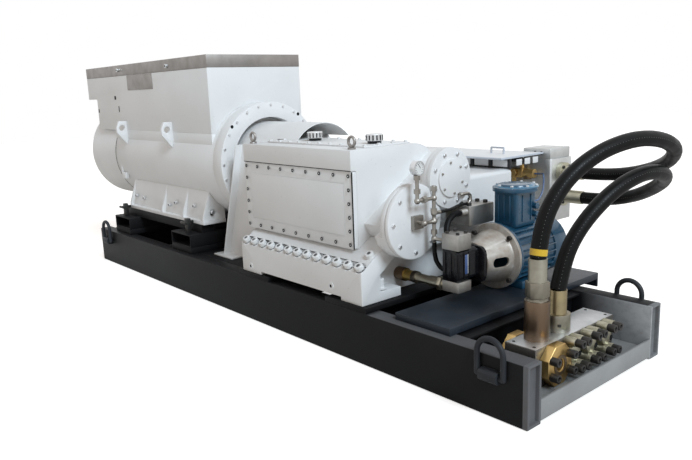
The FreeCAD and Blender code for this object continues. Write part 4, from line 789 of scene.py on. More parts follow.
def walk(points, step):
    """Places and directions every so many mm along a line of points."""
    left = step
    for start, end in zip(points, points[1:]):
        run = end - start
        heading = run.normalized()
        while run.length >= left:
            start = start + heading * left
            run = end - start
            left = step
            yield start, heading
        left -= run.length


def mark_hose(name, line):
    dots = Tray(name + "_dots", "hose_black", "dot_grey")
    dot = turned_form("hose dot", DOT_OUTLINE, 6)
    for place, heading in walk(line_points(line), DOT_STEP):
        side = (LINE_SIDE - heading * LINE_SIDE.dot(heading)).normalized()
        dots.put(dot, [place + side * (HOSE_DIAMETER / 2 - DOT_SINK)], side)
    return dots.close()


def band_hose(line):
    radius = HOSE_DIAMETER / 2
    band = Tray("hose_band", "hose_black", "band_yellow")
    points = line_points(line)
    points.reverse()
    place, heading = next(walk(points, BAND_FROM_END))
    band.put(ring_form("band", radius + BAND_PROUD, radius - BAND_SINK, BAND_WIDTH), [place], heading)
    return band.close()


upper_marks = [mark_hose("upper_hose", upper_hose), band_hose(upper_hose)]
lower_marks = [mark_hose("lower_hose", lower_hose)]
declare_cord(upper_hose, UPPER_ROUTE)
declare_cord(lower_hose, LOWER_ROUTE)

# %% [markdown]
# The motor's front flange is bolted on with 24 small screws, with two dark tapped holes between them.
# Thick studs stand out of the webs of its feet, and two out of its hood. The flange and the hood are
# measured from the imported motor, so their screws stay on their faces.

# %% Motor screws and bolts
HOOD_LOW, HOOD_HIGH = box_mm("motor_hood")
FLANGE_LOW, FLANGE_HIGH = box_mm("motor_front_flange")
MOTOR_AXIS_Z = (FLANGE_LOW.z + FLANGE_HIGH.z) / 2
FLANGE_CIRCLE = 370
FLANGE_SCREWS = 24
FLANGE_FIRST = 208.2
FLANGE_HOLES = ((-291, 1094), (230, 1148))
HOOD_STUDS = ((-1796, 1508), (-976, 1500))
FOOT_BOLTS = ((-1640, 548), (-1508, 540), (-1090, 530), (-991, 556), (-720, 560))
FOOT_WEB_SIDE = 372
FRONT_FOOT_BOLT = (-560, -335, 528)


def bolt_motor():
    bolts = Tray("motor_bolts", "galvanised")
    circle = round_places((FLANGE_HIGH.x, 0, MOTOR_AXIS_Z), FLANGE_CIRCLE, FLANGE_SCREWS, FLANGE_FIRST)
    bolts.put(small_head, circle, ALONG_X)
    bolts.put(stud_head, [(x, HOOD_LOW.y, z) for x, z in HOOD_STUDS], NEAR_SIDE)
    bolts.put(stud_head, [(x, -FOOT_WEB_SIDE, z) for x, z in FOOT_BOLTS], NEAR_SIDE)
    bolts.put(stud_head, [FRONT_FOOT_BOLT], ALONG_X)
    return bolts


motor_bolts = bolt_motor()

# %% [markdown]
# The hood's skirt runs down until it touches the round body, so no gap shows under it. Each stud gets a
# black disc in its end, the flange's two tapped holes get larger ones, and the hood's side has three dark
# slots: these are painted shade that stands for the holes. A plain steel plate sits under the stainless rim,
# between the two studs, and a small box and a narrow strip stand low on the motor's side. The joint between
# the body and the rear cowl shows as one thin dark ring.

# %% Motor skirt, slots and plate
SKIRT_LOW = 976
SKIRT_LAP = 1
SKIRT_WALL = 40
SKIRT_SETBACK = 2
SIDE_BOX = ((-1872, -384, 668), (-1806, -352, 716))
SIDE_STRIP = ((-1886, -378, 700), (-1876, -350, 790))
HOOD_SLOTS = ((-1918, -1890, 1286, 1314), (-1856, -1842, 1190, 1236), (-2270, -2254, 1186, 1212))
SLOT_PROUD = 0.8
PLATE_SPAN = (-1650, -1220, 1352, 1462)
PLATE_PROUD = 2.5
LAP_DEPTH = 1
JOINT_RADIUS = 386.2
JOINT_INNER = 380
JOINT_WIDTH = 5


def on_hood(tray, span, proud, bevel=0.0):
    """A flat block on the hood's near side, from (x, x, z, z)."""
    left, right, low, high = span
    tray.block((left, HOOD_LOW.y - proud, low), (right, HOOD_LOW.y + LAP_DEPTH, high), bevel)


def dress_motor():
    holes = Tray("motor_holes", "screw_black", "hole_black")
    skirt = Tray("motor_hood_skirt", "white_paint")
    plate = Tray("motor_bare_plate", "stainless")
    # Painted shade: black discs for the flange's tapped holes and the studs' ends.
    holes.put(dark_dot, [(FLANGE_HIGH.x, y, z) for y, z in FLANGE_HOLES], ALONG_X)
    holes.put(dark_spot, [(x, HOOD_LOW.y - STUD_HEIGHT, z) for x, z in HOOD_STUDS], NEAR_SIDE)
    holes.put(dark_spot, [(x, -FOOT_WEB_SIDE - STUD_HEIGHT, z) for x, z in FOOT_BOLTS], NEAR_SIDE)
    rear = box_mm("motor_body")[0].x
    for side in (-1, 1):
        near, far = sorted((side * HOOD_HIGH.y, side * (HOOD_HIGH.y - SKIRT_WALL)))
        skirt.block((rear, near, SKIRT_LOW), (HOOD_HIGH.x - SKIRT_SETBACK, far, HOOD_LOW.z + SKIRT_LAP), 2)
    skirt.block(*SIDE_BOX, 4)
    skirt.block(*SIDE_STRIP, 2)
    # Painted shade: dark blocks stand for the hood's slots.
    for span in HOOD_SLOTS:
        on_hood(holes, span, SLOT_PROUD)
    joint = ring_form("cowl joint", JOINT_RADIUS, JOINT_INNER, JOINT_WIDTH, 96)
    holes.put(joint, [(rear - 2, 0, MOTOR_AXIS_Z)], ALONG_X)
    on_hood(plate, PLATE_SPAN, PLATE_PROUD, 1)
    close_all(motor_bolts, holes, skirt, plate)


dress_motor()

# %% [markdown]
# The casing's big inspection lid is held by a row of sunk screws all round it. From a few steps away
# each one is a small dark ring, the painted shade of its counterbore, with a paler head inside. A dark line
# runs along the lid's top and
# its front end: partly the joint, partly a painted shadow under the casing's overhang.

# %% The lid's screws, the painted shade of their counterbores, and the joint and shadow lines
LID_LOW, LID_HIGH = box_mm("side_lid")
LID_MARGIN = 23
LID_COLUMNS = 9
LID_ROWS = 6
LINE_FAR = LID_LOW.y + 8

lid_counterbore_shade = ring_form("lid counterbore shade", 9.5, 3.5, 0.9, 20)
lid_head = head_form("lid head", 3.6, 1.2)


def lid_places():
    """Two long rows of screws, with a short column between them at each end."""
    columns = spaced(LID_LOW.x + LID_MARGIN, LID_HIGH.x - LID_MARGIN, LID_COLUMNS)
    rows = spaced(LID_LOW.z + LID_MARGIN, LID_HIGH.z - LID_MARGIN, LID_ROWS)
    long_rows = [(x, LID_LOW.y, z) for x in columns for z in (rows[0], rows[-1])]
    ends = [(x, LID_LOW.y, z) for z in rows[1:-1] for x in (columns[0], columns[-1])]
    return long_rows + ends


def dress_lid():
    heads = Tray("lid_screws", "white_paint", "lid_white")
    dark = Tray("casing_joint_and_shade_marks", "screw_black", "hole_black")
    heads.put(lid_head, lid_places(), NEAR_SIDE)
    # Painted shade: a dark ring round each head stands for its counterbore.
    dark.put(lid_counterbore_shade, lid_places(), NEAR_SIDE)
    # The lines along the front end and the top are partly the joint, partly a painted shadow under the
    # overhang.
    dark.block((LID_HIGH.x - 0.8, LID_LOW.y + 1, LID_LOW.z + 4), (LID_HIGH.x + 1.2, LINE_FAR, LID_HIGH.z - 3))
    dark.block((LID_LOW.x + 2, LID_LOW.y - 0.7, LID_HIGH.z), (LID_HIGH.x - 2, LINE_FAR, LID_HIGH.z + 3.5))
    return heads, dark


lid_screws, joint_and_shade_marks = dress_lid()
print("lid screws", len(lid_places()))

# %% [markdown]
# Below the lid, thirteen heavy cap screws clamp the two halves of the casing on a slope, and two more
# sit at the front corner. Each stands in a round spot face, whose shadow is painted as a thin dark crescent:
# a dark disc set a little to one side under the head. A grey hexagon on each head paints the shade in its
# socket. They replace the imported screws, which are plain. Two drain plugs and a hold-down bolt sit lower
# down; a black disc in each plug paints the shade of its hole.

# %% Clamp screws, plugs and hold-down bolt
CASING_NEAR = box_mm("lower_casing")[0].y
SLOPE = math.radians(33.3)
SLOPE_FOOT_Z = 449
SLOPE_OUT = (0, -math.sin(SLOPE), math.cos(SLOPE))
CLAMP_PLACES = [(x, 27) for x in spaced(126, 1098, 13)] + [(1098, 112), (1098, 202)]
CLAMP_RADIUS = 21.5
CLAMP_HEIGHT = 27
CLAMP_LIFT = -5
SHADOW_SHIFT = 4
PLUG_PLACES = ((177, 322), (902, 345))
HOLD_DOWN = (1098, -372, 339)

clamp_head = socket_form("clamp head", CLAMP_RADIUS, CLAMP_HEIGHT)
clamp_shadow_crescent = head_form("clamp shadow crescent", CLAMP_RADIUS + 3.5, 0.9, 28)
socket_shade = head_form("socket shade", 9.6, DISC_DEPTH, 6)
plug_rim = ring_form("plug rim", 21, 9, 3, 24)
hold_down = head_form("hold down", 20, 52, 18)
hold_down_foot = head_form("hold down foot", 30, 10, 18)


def on_slope(x, along, lift):
    """A place on the casing's slope, so far up it and so far out from it."""
    y = CASING_NEAR + along * math.cos(SLOPE) - lift * math.sin(SLOPE)
    z = SLOPE_FOOT_Z + along * math.sin(SLOPE) + lift * math.cos(SLOPE)
    return (x, y, z)


def clamp_casing():
    clamps = Tray("clamp_screws", "white_paint")
    socket_shades = Tray("clamp_socket_shades", "cast_grey", "painted_shade_grey")
    shadow_crescents = Tray("clamp_shadow_crescents", "cast_grey", "painted_shade_grey")
    for x, along in CLAMP_PLACES:
        # Painted shadow: a dark disc set a little to one side shows as the spot face's crescent of shadow.
        shadow_crescents.put(clamp_shadow_crescent, [on_slope(x + SHADOW_SHIFT, along, CLAMP_LIFT + 0.2)], SLOPE_OUT)
        clamps.put(clamp_head, [on_slope(x, along, CLAMP_LIFT)], SLOPE_OUT)
        # Painted shade: a grey hexagon over each socket's mouth.
        socket_shades.put(socket_shade, [on_slope(x, along, CLAMP_LIFT + CLAMP_HEIGHT + 0.1)], SLOPE_OUT)
    plugs = [(x, CASING_NEAR, z) for x, z in PLUG_PLACES]
    clamps.put(plug_rim, plugs, NEAR_SIDE)
    # Painted shade: a black disc in each plug.
    joint_and_shade_marks.put(dark_dot, plugs, NEAR_SIDE)
    clamps.put(hold_down, [HOLD_DOWN])
    clamps.put(hold_down_foot, [Vector(HOLD_DOWN) - Vector(UP)])
    clamps.close("casing_screws")
    close_all(socket_shades, shadow_crescents, lid_screws, joint_and_shade_marks)


clamp_casing()

# %% [markdown]
# The two bearing covers carry eight screws each, and the cap in the middle of the upper one six darker
# ones. The thin plate on the casing's top has a row of screws along each edge.

# %% Screws of the covers
CRANK_LOW, CRANK_HIGH = box_mm("crank_bearing_cover")
INPUT_LOW, INPUT_HIGH = box_mm("input_bearing_cover")
TOP_PLATE_LOW, TOP_PLATE_HIGH = box_mm("top_cover")
CRANK_CIRCLE = 150
INPUT_CIRCLE = 124
CAP_CIRCLE = 78
TOP_PLATE_MARGIN = 16

cover_head = head_form("cover head", 10, 8, 6)
cap_head = head_form("cap head", 6.5, 6, 6)


def facing_places(low, high, face, radius, count, first):
    """A circle of places on a round cover that faces along X."""
    middle = (low + high) / 2
    return round_places((face, middle.y, middle.z), radius, count, first)


def dress_covers():
    bright = Tray("cover_screws", "galvanised")
    dark = Tray("cover_dark_screws", "screw_black", "pipe_steel")
    white = Tray("top_cover_screws", "white_paint")
    face = CRANK_HIGH.x
    bright.put(cover_head, facing_places(CRANK_LOW, CRANK_HIGH, face, CRANK_CIRCLE, 8, 134), ALONG_X)
    bright.put(cover_head, facing_places(INPUT_LOW, INPUT_HIGH, face, INPUT_CIRCLE, 8, 112), ALONG_X)
    dark.put(cap_head, facing_places(INPUT_LOW, INPUT_HIGH, INPUT_HIGH.x, CAP_CIRCLE, 6, 100), ALONG_X)
    long_edges = spaced(TOP_PLATE_LOW.x + TOP_PLATE_MARGIN, TOP_PLATE_HIGH.x - TOP_PLATE_MARGIN, 10)
    short_edges = spaced(TOP_PLATE_LOW.y + TOP_PLATE_MARGIN, TOP_PLATE_HIGH.y - TOP_PLATE_MARGIN, 4)
    for x in long_edges:
        white.put(cover_head, [(x, y, TOP_PLATE_HIGH.z) for y in (short_edges[0], short_edges[-1])])
    for y in short_edges[1:-1]:
        white.put(cover_head, [(x, y, TOP_PLATE_HIGH.z) for x in (long_edges[0], long_edges[-1])])
    close_all(bright, dark, white)


dress_covers()

# %% [markdown]
# Two breathers stand on that plate. Their bright caps are wider than their black necks, and upright
# slots are cut round each cap. A slot is a thin dark block that stands a hair out of the cap's side, painted
# shade that stands for the opening.

# %% Breathers
BREATHER_LOW, BREATHER_HIGH = box_mm("breather_caps")
CAP_RADIUS = 45
CAP_OUTLINE = [(0, 12), (38, 12), (CAP_RADIUS, 16), (CAP_RADIUS, 44), (40, 50), (0, 50)]
CAP_SLOTS = 14
CAP_SLOT = Vector((2, 3.6, 13))
CAP_SLOT_RADIUS = 43.6
CAP_SLOT_LIFT = 31


def make_breathers():
    caps = Tray("breather_bright_caps", "galvanised")
    dark = Tray("breather_necks", "pump_black")
    cap = turned_form("breather cap", CAP_OUTLINE, 36)
    neck = head_form("breather neck", 36, 13, 30)
    y = (BREATHER_LOW.y + BREATHER_HIGH.y) / 2
    for x in (BREATHER_LOW.x + CAP_RADIUS, BREATHER_HIGH.x - CAP_RADIUS):
        dark.put(neck, [(x, y, BREATHER_LOW.z)])
        caps.put(cap, [(x, y, BREATHER_LOW.z)])
        for index in range(CAP_SLOTS):
            angle = math.tau * index / CAP_SLOTS
            out = Vector((math.cos(angle), math.sin(angle), 0)) * CAP_SLOT_RADIUS
            spot = Vector((x, y, BREATHER_LOW.z + CAP_SLOT_LIFT)) + out
            # Painted shade: each slot is a thin dark block.
            dark.block(spot - CAP_SLOT, spot + CAP_SLOT, 0, Matrix.Rotation(angle, 4, "Z"))
    caps.close("breather_caps")
    close_all(dark)


make_breathers()

# %% [markdown]
# At the plunger end the window strip lets light through between dark posts, so each window is a bright
# pane in a dark frame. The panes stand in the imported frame's shallow recesses. The cover above them is
# pale blue with a whiter top, so a thin white plate lies on it and leaves its edge free.

# %% Window panes and the plunger cover's top
FRAME_LOW, FRAME_HIGH = box_mm("window_frame")
COVER_LOW, COVER_HIGH = box_mm("plunger_cover")
COVER_PLATE = 10
EDGE_MARGIN = 14
WINDOWS = 8
FIRST_WINDOW = 66
PANE_HALF = 50
END_WINDOWS_Y = (712, 792, 872)
END_PANE_HALF = 26
PANE_BEVEL = 0.6


def dress_windows():
    panes = Tray("window_panes", "white_paint")
    top = Tray("plunger_cover_top", "white_paint")
    near, front = FRAME_LOW.y, FRAME_HIGH.x
    low, high = FRAME_LOW.z, FRAME_HIGH.z
    for x in spaced(FRAME_LOW.x + FIRST_WINDOW, front - FIRST_WINDOW, WINDOWS):
        left, right = x - PANE_HALF, x + PANE_HALF
        panes.block((left, near - 1.2, low + 11), (right, near + 2, high - 8), PANE_BEVEL)
    for y in END_WINDOWS_Y:
        left, right = y - END_PANE_HALF, y + END_PANE_HALF
        panes.block((front - 3, left, low + 13), (front + 1, right, high - 9), PANE_BEVEL)
    plate_top = COVER_LOW.z + COVER_PLATE
    top.block((COVER_LOW.x + EDGE_MARGIN, COVER_LOW.y + EDGE_MARGIN, plate_top - 1),
              (COVER_HIGH.x - EDGE_MARGIN, COVER_HIGH.y - EDGE_MARGIN, plate_top + 1.2), 0.8)
    close_all(panes, top)


dress_windows()

# %% [markdown]
# The head's two outlets have flanges with four dark cap screws each, and the block on top has two
# ports, each a black disc of painted shade. The brass valve beside it gets a hexagon nut, a stem, and the
# brown coil that moves it.

# %% Pump head details
HEAD_LOW, HEAD_HIGH = box_mm("pump_head")
OUTLET_LOW, OUTLET_HIGH = box_mm("head_outlets")
OUTLET_RADIUS = 58
OUTLET_CIRCLE = 47
OUTLET_DEPTH = 34
OUTLET_FACE = HEAD_HIGH.x + OUTLET_DEPTH
TOP_PORTS = ((1068, 884), (1112, 883))
COIL_PLACE = (1040, 929, 726)
VALVE_NUT_PLACE = (960, 899, 762)
VALVE_STEM_PLACE = (1000, 929, 786)


def dress_head():
    dark = Tray("head_dark_screws", "screw_black")
    brown = Tray("valve_coil", "bronze")
    brass = Tray("valve_neck", "brass")
    flange_screw = socket_form("flange screw", 9, 10)
    y = (OUTLET_LOW.y + OUTLET_HIGH.y) / 2
    for z in (OUTLET_HIGH.z - OUTLET_RADIUS, OUTLET_LOW.z + OUTLET_RADIUS):
        dark.put(flange_screw, round_places((OUTLET_FACE, y, z), OUTLET_CIRCLE, 4, 45), ALONG_X)
    # Painted shade: a black disc in each port.
    dark.put(dark_dot, [(x, HEAD_LOW.y, z) for x, z in TOP_PORTS], NEAR_SIDE)
    brown.put(head_form("coil", 24, 44, 24), [COIL_PLACE])
    brass.put(head_form("valve nut", 30, 16, 6), [VALVE_NUT_PLACE], NEAR_SIDE)
    brass.put(head_form("valve stem", 14, 30, 6), [VALVE_STEM_PLACE])
    close_all(dark, brown, brass)


dress_head()

# %% [markdown]
# The oil set's blue flange motor has cooling fins: thin plates that stand out round its shell between
# the flange and the fan cowl. They leave out the top, where the terminal box stands, and the foot.

# %% Cooling fins of the oil motor
OIL_LOW, OIL_HIGH = box_mm("lube_motor")
OIL_X = (OIL_LOW.x + OIL_HIGH.x) / 2
OIL_FLANGE_RADIUS = 165
OIL_Z = OIL_HIGH.z - OIL_FLANGE_RADIUS
FIN_COUNT = 28
FIN_RADIUS = 150
FIN_Y = 283
FIN_HALF = Vector((2.2, 142, 10))
FINS_TOP = 0.82
FINS_FOOT = -0.72


def dress_oil_motor():
    fins = Tray("lube_motor_fins", "motor_blue")
    for index in range(FIN_COUNT):
        angle = math.tau * index / FIN_COUNT
        across, up = math.sin(angle), math.cos(angle)
        if FINS_FOOT <= up <= FINS_TOP:
            spot = Vector((OIL_X + FIN_RADIUS * across, FIN_Y, OIL_Z + FIN_RADIUS * up))
            fins.block(spot - FIN_HALF, spot + FIN_HALF, 1, Matrix.Rotation(angle, 4, "Y"))
    close_all(fins)


dress_oil_motor()

# %% [markdown]
# The motor's terminal box has a round domed lid in a lighter blue, a painted highlight of its lit top, bright
# screws round it, ribs down its two visible sides and two cable glands in front. The lid is one turned
# outline.

# %% Terminal box
LID_OUTLINE = [(0, 10), (80, 10), (86, 4), (105, 4), (109, 0), (109, -3), (0, -3)]
BOX_LOW, BOX_HIGH = box_mm("lube_terminal_box")
BOX_MIDDLE_Y = (BOX_LOW.y + BOX_HIGH.y) / 2
BOX_LID_Z = 791
BOX_SCREW_LIFT = 4
BOX_SCREW_CIRCLE = 98
RIB_HALF = 3
RIB_STEP = 34
RIB_Z = (620, 752)
FRONT_RIBS_Y = (252, 322)
BOX_NEAR = (194, 200)
BOX_FRONT = (1476, 1482)
GLANDS_Y = 350
GLAND_HEIGHTS = (648, 690)


def dress_terminal_box():
    blue = Tray("terminal_box_ribs", "motor_blue")
    lid = Tray("terminal_box_lid", "motor_blue", "painted_highlight_blue")
    bright = Tray("terminal_box_screws", "galvanised")
    # Painted highlight: the lid's lighter blue stands for light on its top.
    lid.put(turned_form("box lid", LID_OUTLINE, 48), [(OIL_X, BOX_MIDDLE_Y, BOX_LID_Z)])
    circle = round_places((OIL_X, BOX_MIDDLE_Y, BOX_LID_Z + BOX_SCREW_LIFT), BOX_SCREW_CIRCLE, 8, 22, "XY")
    bright.put(small_head, circle)
    low, high = RIB_Z
    for x in (OIL_X - RIB_STEP, OIL_X, OIL_X + RIB_STEP):
        blue.block((x - RIB_HALF, BOX_NEAR[0], low), (x + RIB_HALF, BOX_NEAR[1], high), 1)
    for y in FRONT_RIBS_Y:
        blue.block((BOX_FRONT[0], y - RIB_HALF, low), (BOX_FRONT[1], y + RIB_HALF, high), 1)
    blue.put(head_form("gland", 17, 26, 6), [(BOX_FRONT[0], GLANDS_Y, z) for z in GLAND_HEIGHTS], ALONG_X)
    close_all(blue, lid, bright)


dress_terminal_box()

# %% [markdown]
# The raw cast bell is held by four black cap screws. Four smaller ones sit on the port block, and six
# like the bell's on the valve block. The gear pump is glossy black, with ribs on its two visible sides
# and a blue stripe between two pale ones.

# %% Oil pump and its screws
PORT_LOW, PORT_HIGH = box_mm("pump_port_blocks")
VALVE_BLOCK_TOP = box_mm("lube_valve_block")[1].z
PORT_MARGIN = 18
BELL_FACE = 102
BELL_CIRCLE = 149
VALVE_SCREWS_X = (1160, 1210, 1262)
VALVE_SCREWS_Y = (105, 235)
RIBS_LOW = 410
RIBS_HIGH = 536
FRONT_RIBS = (-208, -172, -136)
FRONT_RIB_X = (1452, 1461)
FRONT_RIB_HALF = 4
NEAR_RIBS = (1372, 1408, 1444)
NEAR_RIB_Y = (-217, -208)
NEAR_RIB_HALF = 9
STRIPE_FACE = (1455.4, 1457.2)
STRIPE_SPAN = (432, 524)
BLUE_STRIPE = (-164, -146)
PALE_STRIPES = ((-168, -165), (-145, -141))


def stand_stripe(tray, sides):
    near, far = sides
    back, face = STRIPE_FACE
    low, high = STRIPE_SPAN
    tray.block((back, near, low), (face, far, high), 0.3)


def screw_oil_set():
    dark = Tray("oil_set_screws", "screw_black")
    bell_screw = socket_form("bell screw", 12, 14)
    block_screw = socket_form("block screw", 9, 9)
    dark.put(bell_screw, round_places((OIL_X, BELL_FACE, OIL_Z), BELL_CIRCLE, 4, 45, "XZ"), NEAR_SIDE)
    for x in (PORT_LOW.x + PORT_MARGIN, PORT_HIGH.x - PORT_MARGIN):
        for y in (PORT_LOW.y + PORT_MARGIN, PORT_HIGH.y - PORT_MARGIN):
            dark.put(block_screw, [(x, y, PORT_HIGH.z)])
    for x in VALVE_SCREWS_X:
        dark.put(bell_screw, [(x, y, VALVE_BLOCK_TOP) for y in VALVE_SCREWS_Y])
    return dark


def dress_oil_pump():
    stripe = Tray("pump_stripe", "pump_black", "stripe_blue")
    pale = Tray("pump_pale_stripe", "pump_black", "dial_white")
    body = Tray("pump_ribs", "pump_black")
    back, face = FRONT_RIB_X
    for y in FRONT_RIBS:
        body.block((back, y - FRONT_RIB_HALF, RIBS_LOW), (face, y + FRONT_RIB_HALF, RIBS_HIGH), 3)
    near, far = NEAR_RIB_Y
    for x in NEAR_RIBS:
        body.block((x - NEAR_RIB_HALF, near, RIBS_LOW), (x + NEAR_RIB_HALF, far, RIBS_HIGH), 4)
    stand_stripe(stripe, BLUE_STRIPE)
    for sides in PALE_STRIPES:
        stand_stripe(pale, sides)
    close_all(screw_oil_set(), stripe, pale, body)


dress_oil_pump()

# %% [markdown]
# The gauge has a bright bezel, a white dial with plain tick marks and a dark needle. Ticks are generic,
# so they may be drawn, and they are short bars standing a hair above the dial.

# %% Gauge face
GAUGE_LOW, GAUGE_HIGH = box_mm("pressure_gauge")
GAUGE_MIDDLE = Vector((GAUGE_HIGH.x, (GAUGE_LOW.y + GAUGE_HIGH.y) / 2, (GAUGE_LOW.z + GAUGE_HIGH.z) / 2))
TICK_COUNT = 11
FIRST_TICK = 225
TICK_TURN = 27
TICK_RADIUS = 23
TICK_HALF = Vector((0.4, 0.8, 3))
NEEDLE_LOW = Vector((0.8, -1, -2))
NEEDLE_HIGH = Vector((1.8, 1, 22))
NEEDLE_TURN = math.radians(35)


def dress_gauge():
    bezel = Tray("gauge_bezel", "galvanised")
    dial = Tray("gauge_dial", "galvanised", "dial_white")
    marks = Tray("gauge_marks", "screw_black", "hole_black")
    bezel.put(ring_form("bezel", 34, 28, 5), [GAUGE_MIDDLE - 3 * Vector(ALONG_X)], ALONG_X)
    dial.put(head_form("dial", 28.5, DISC_DEPTH, 40), [GAUGE_MIDDLE], ALONG_X)
    for index in range(TICK_COUNT):
        angle = math.radians(FIRST_TICK - TICK_TURN * index)
        out = Vector((1, TICK_RADIUS * math.cos(angle), TICK_RADIUS * math.sin(angle)))
        spot = GAUGE_MIDDLE + out
        marks.block(spot - TICK_HALF, spot + TICK_HALF, 0, Matrix.Rotation(angle - math.pi / 2, 4, "X"))
    needle_turn = Matrix.Rotation(NEEDLE_TURN, 4, "X")
    marks.block(GAUGE_MIDDLE + NEEDLE_LOW, GAUGE_MIDDLE + NEEDLE_HIGH, 0, needle_turn)
    close_all(bezel, dial, marks)


dress_gauge()

# %% [markdown]
# The manifold is a brown forged block whose machined top is bright, with four small tapped holes. Its
# delivery flange gets a raised seat round the bore, the three small ports get dark mouths, and four cap
# screws hold the base of the lower hose's fitting. The holes and the mouths are black discs of painted shade.

# %% Manifold details
BLOCK_LOW, BLOCK_HIGH = box_mm("manifold_block")
DELIVERY_LOW, DELIVERY_HIGH = box_mm("manifold_flanges")
SMALL_PORT_FACE = box_mm("small_port_flanges")[1].x
TOP_MARGIN = 3
TOP_HOLES_X = (1822, 1922)
TOP_HOLES_Y = (-292, 274)
SMALL_PORTS_Y = (-70.5, 60, 189.5)
SMALL_PORTS_Z = 165
BASE_SCREWS_X = (1838, 1902)
BASE_SCREWS_Y = (-78, -8)
BASE_SCREWS_Z = 262


def dress_manifold():
    bright = Tray("manifold_top", "head_steel", "galvanised")
    dark = Tray("manifold_holes", "screw_black", "hole_black")
    seat = Tray("manifold_bore_seats", "bronze")
    screws = Tray("fitting_screws", "screw_black")
    top = BLOCK_HIGH.z + 1
    bright.block((BLOCK_LOW.x + TOP_MARGIN, BLOCK_LOW.y + TOP_MARGIN, top - 2.6),
                 (BLOCK_HIGH.x - TOP_MARGIN, BLOCK_HIGH.y - TOP_MARGIN, top), 0.8)
    # Painted shade: black discs in the tapped holes and in the small ports.
    dark.put(dark_spot, [(x, y, top) for x in TOP_HOLES_X for y in TOP_HOLES_Y])
    port = (DELIVERY_LOW + DELIVERY_HIGH) / 2
    seat.put(ring_form("bore seat", 44, 30, 3), [(DELIVERY_HIGH.x, port.y, port.z)], ALONG_X)
    mouth = head_form("small bore", 13, DISC_DEPTH, 24)
    dark.put(mouth, [(SMALL_PORT_FACE, y, SMALL_PORTS_Z) for y in SMALL_PORTS_Y], ALONG_X)
    base_screw = socket_form("base screw", 11, 12)
    screws.put(base_screw, [(x, y, BASE_SCREWS_Z) for x in BASE_SCREWS_X for y in BASE_SCREWS_Y])
    close_all(bright, dark, seat, screws)


dress_manifold()

# %% [markdown]
# The photograph shows the front and the near side, but the pump is seen from all sides. The motor's end
# gets a ring of air slots round a hub plate, and the hood's end gets louvres; the slots and the strips under
# the louvres' lips are dark blocks of painted shade. The far feet have the same bolts as the near ones.

# %% The motor's rear end and far feet
COWL_END = box_mm("motor_rear_cowl")[0].x
AIR_SLOTS = 24
AIR_SLOT_RADIUS = 220
AIR_SLOT_HALF = Vector((0.9, 8, 62))
HUB_RADIUS = 120
HUB_DEPTH = 5
HUB_CIRCLE = 100
COWL_CIRCLE = 318
LOUVRE_SPAN = (1322, 1437)
LOUVRES = 6
LOUVRE_HALF = 250
LIP_HALF = LOUVRE_HALF + 6


def dress_back():
    dark = Tray("back_slots", "screw_black", "hole_black")
    white = Tray("back_hub", "white_paint")
    bolts = Tray("far_bolts", "galvanised")
    middle = Vector((COWL_END, 0, MOTOR_AXIS_Z))
    for index in range(AIR_SLOTS):
        angle = math.tau * index / AIR_SLOTS
        spot = middle + AIR_SLOT_RADIUS * Vector((0, math.sin(angle), math.cos(angle)))
        # Painted shade: each air slot is a thin dark block.
        dark.block(spot - AIR_SLOT_HALF, spot + AIR_SLOT_HALF, 0, Matrix.Rotation(-angle, 4, "X"))
    white.put(head_form("hub plate", HUB_RADIUS, HUB_DEPTH, 48), [middle], REARWARD)
    hub_face = middle + HUB_DEPTH * Vector(REARWARD)
    bolts.put(small_head, round_places(hub_face, HUB_CIRCLE, 6, 30), REARWARD)
    bolts.put(small_head, round_places(middle, COWL_CIRCLE, 8, 22), REARWARD)
    rear = HOOD_LOW.x
    for z in spaced(*LOUVRE_SPAN, LOUVRES):
        # Painted shade: a dark strip under each louvre's white lip.
        dark.block((rear - 1, -LOUVRE_HALF, z - 5), (rear + 1, LOUVRE_HALF, z + 5))
        white.block((rear - 8, -LIP_HALF, z + 4), (rear + 2, LIP_HALF, z + 8), 1)
    bolts.put(stud_head, [(x, FOOT_WEB_SIDE, z) for x, z in FOOT_BOLTS], FAR_SIDE)
    close_all(dark, white, bolts)


dress_back()

# %% [markdown]
# The far face of the pump head has a column of valve plugs for each plunger and a hexagon cap above it,
# with cap screws along its edges, as such heads usually have. The head's rear end has two columns of the
# same screws.

# %% The far side of the pump head
PLUG_OUTLINE = [(0, 0), (56, 0), (56, 9), (52, 13), (26, 13), (26, 6), (0, 6)]
PLUNGERS = 5
PLUG_SPAN = (130, 1050)
PLUG_HEIGHTS = (574, 746)
LAST_CAP_X = 905
EDGE_SCREWS = 11
EDGE_INSET = 38
END_INSET = 51
EDGE_RISE = 28


def dress_head_far_side():
    plugs = Tray("valve_plugs", "head_steel", "port_silver")
    screws = Tray("head_far_screws", "screw_black")
    plug = turned_form("valve plug", PLUG_OUTLINE, 32)
    screw = socket_form("head screw", 15, 16)
    cap = head_form("suction cap", 46, 10, 6)
    middle_y = (HEAD_LOW.y + HEAD_HIGH.y) / 2
    for x in spaced(*PLUG_SPAN, PLUNGERS):
        plugs.put(plug, [(x, HEAD_HIGH.y, z) for z in PLUG_HEIGHTS], FAR_SIDE)
        plugs.put(cap, [(min(x, LAST_CAP_X), middle_y, HEAD_HIGH.z)])
    low, high = HEAD_LOW.z + EDGE_RISE, HEAD_HIGH.z - EDGE_RISE
    for x in spaced(HEAD_LOW.x + EDGE_INSET, HEAD_HIGH.x - EDGE_INSET, EDGE_SCREWS):
        screws.put(screw, [(x, HEAD_HIGH.y, z) for z in (low, high)], FAR_SIDE)
    for y in (HEAD_LOW.y + END_INSET, HEAD_HIGH.y - END_INSET):
        screws.put(screw, [(HEAD_LOW.x, y, z) for z in spaced(low, high, 3)], REARWARD)
    close_all(plugs, screws)


dress_head_far_side()

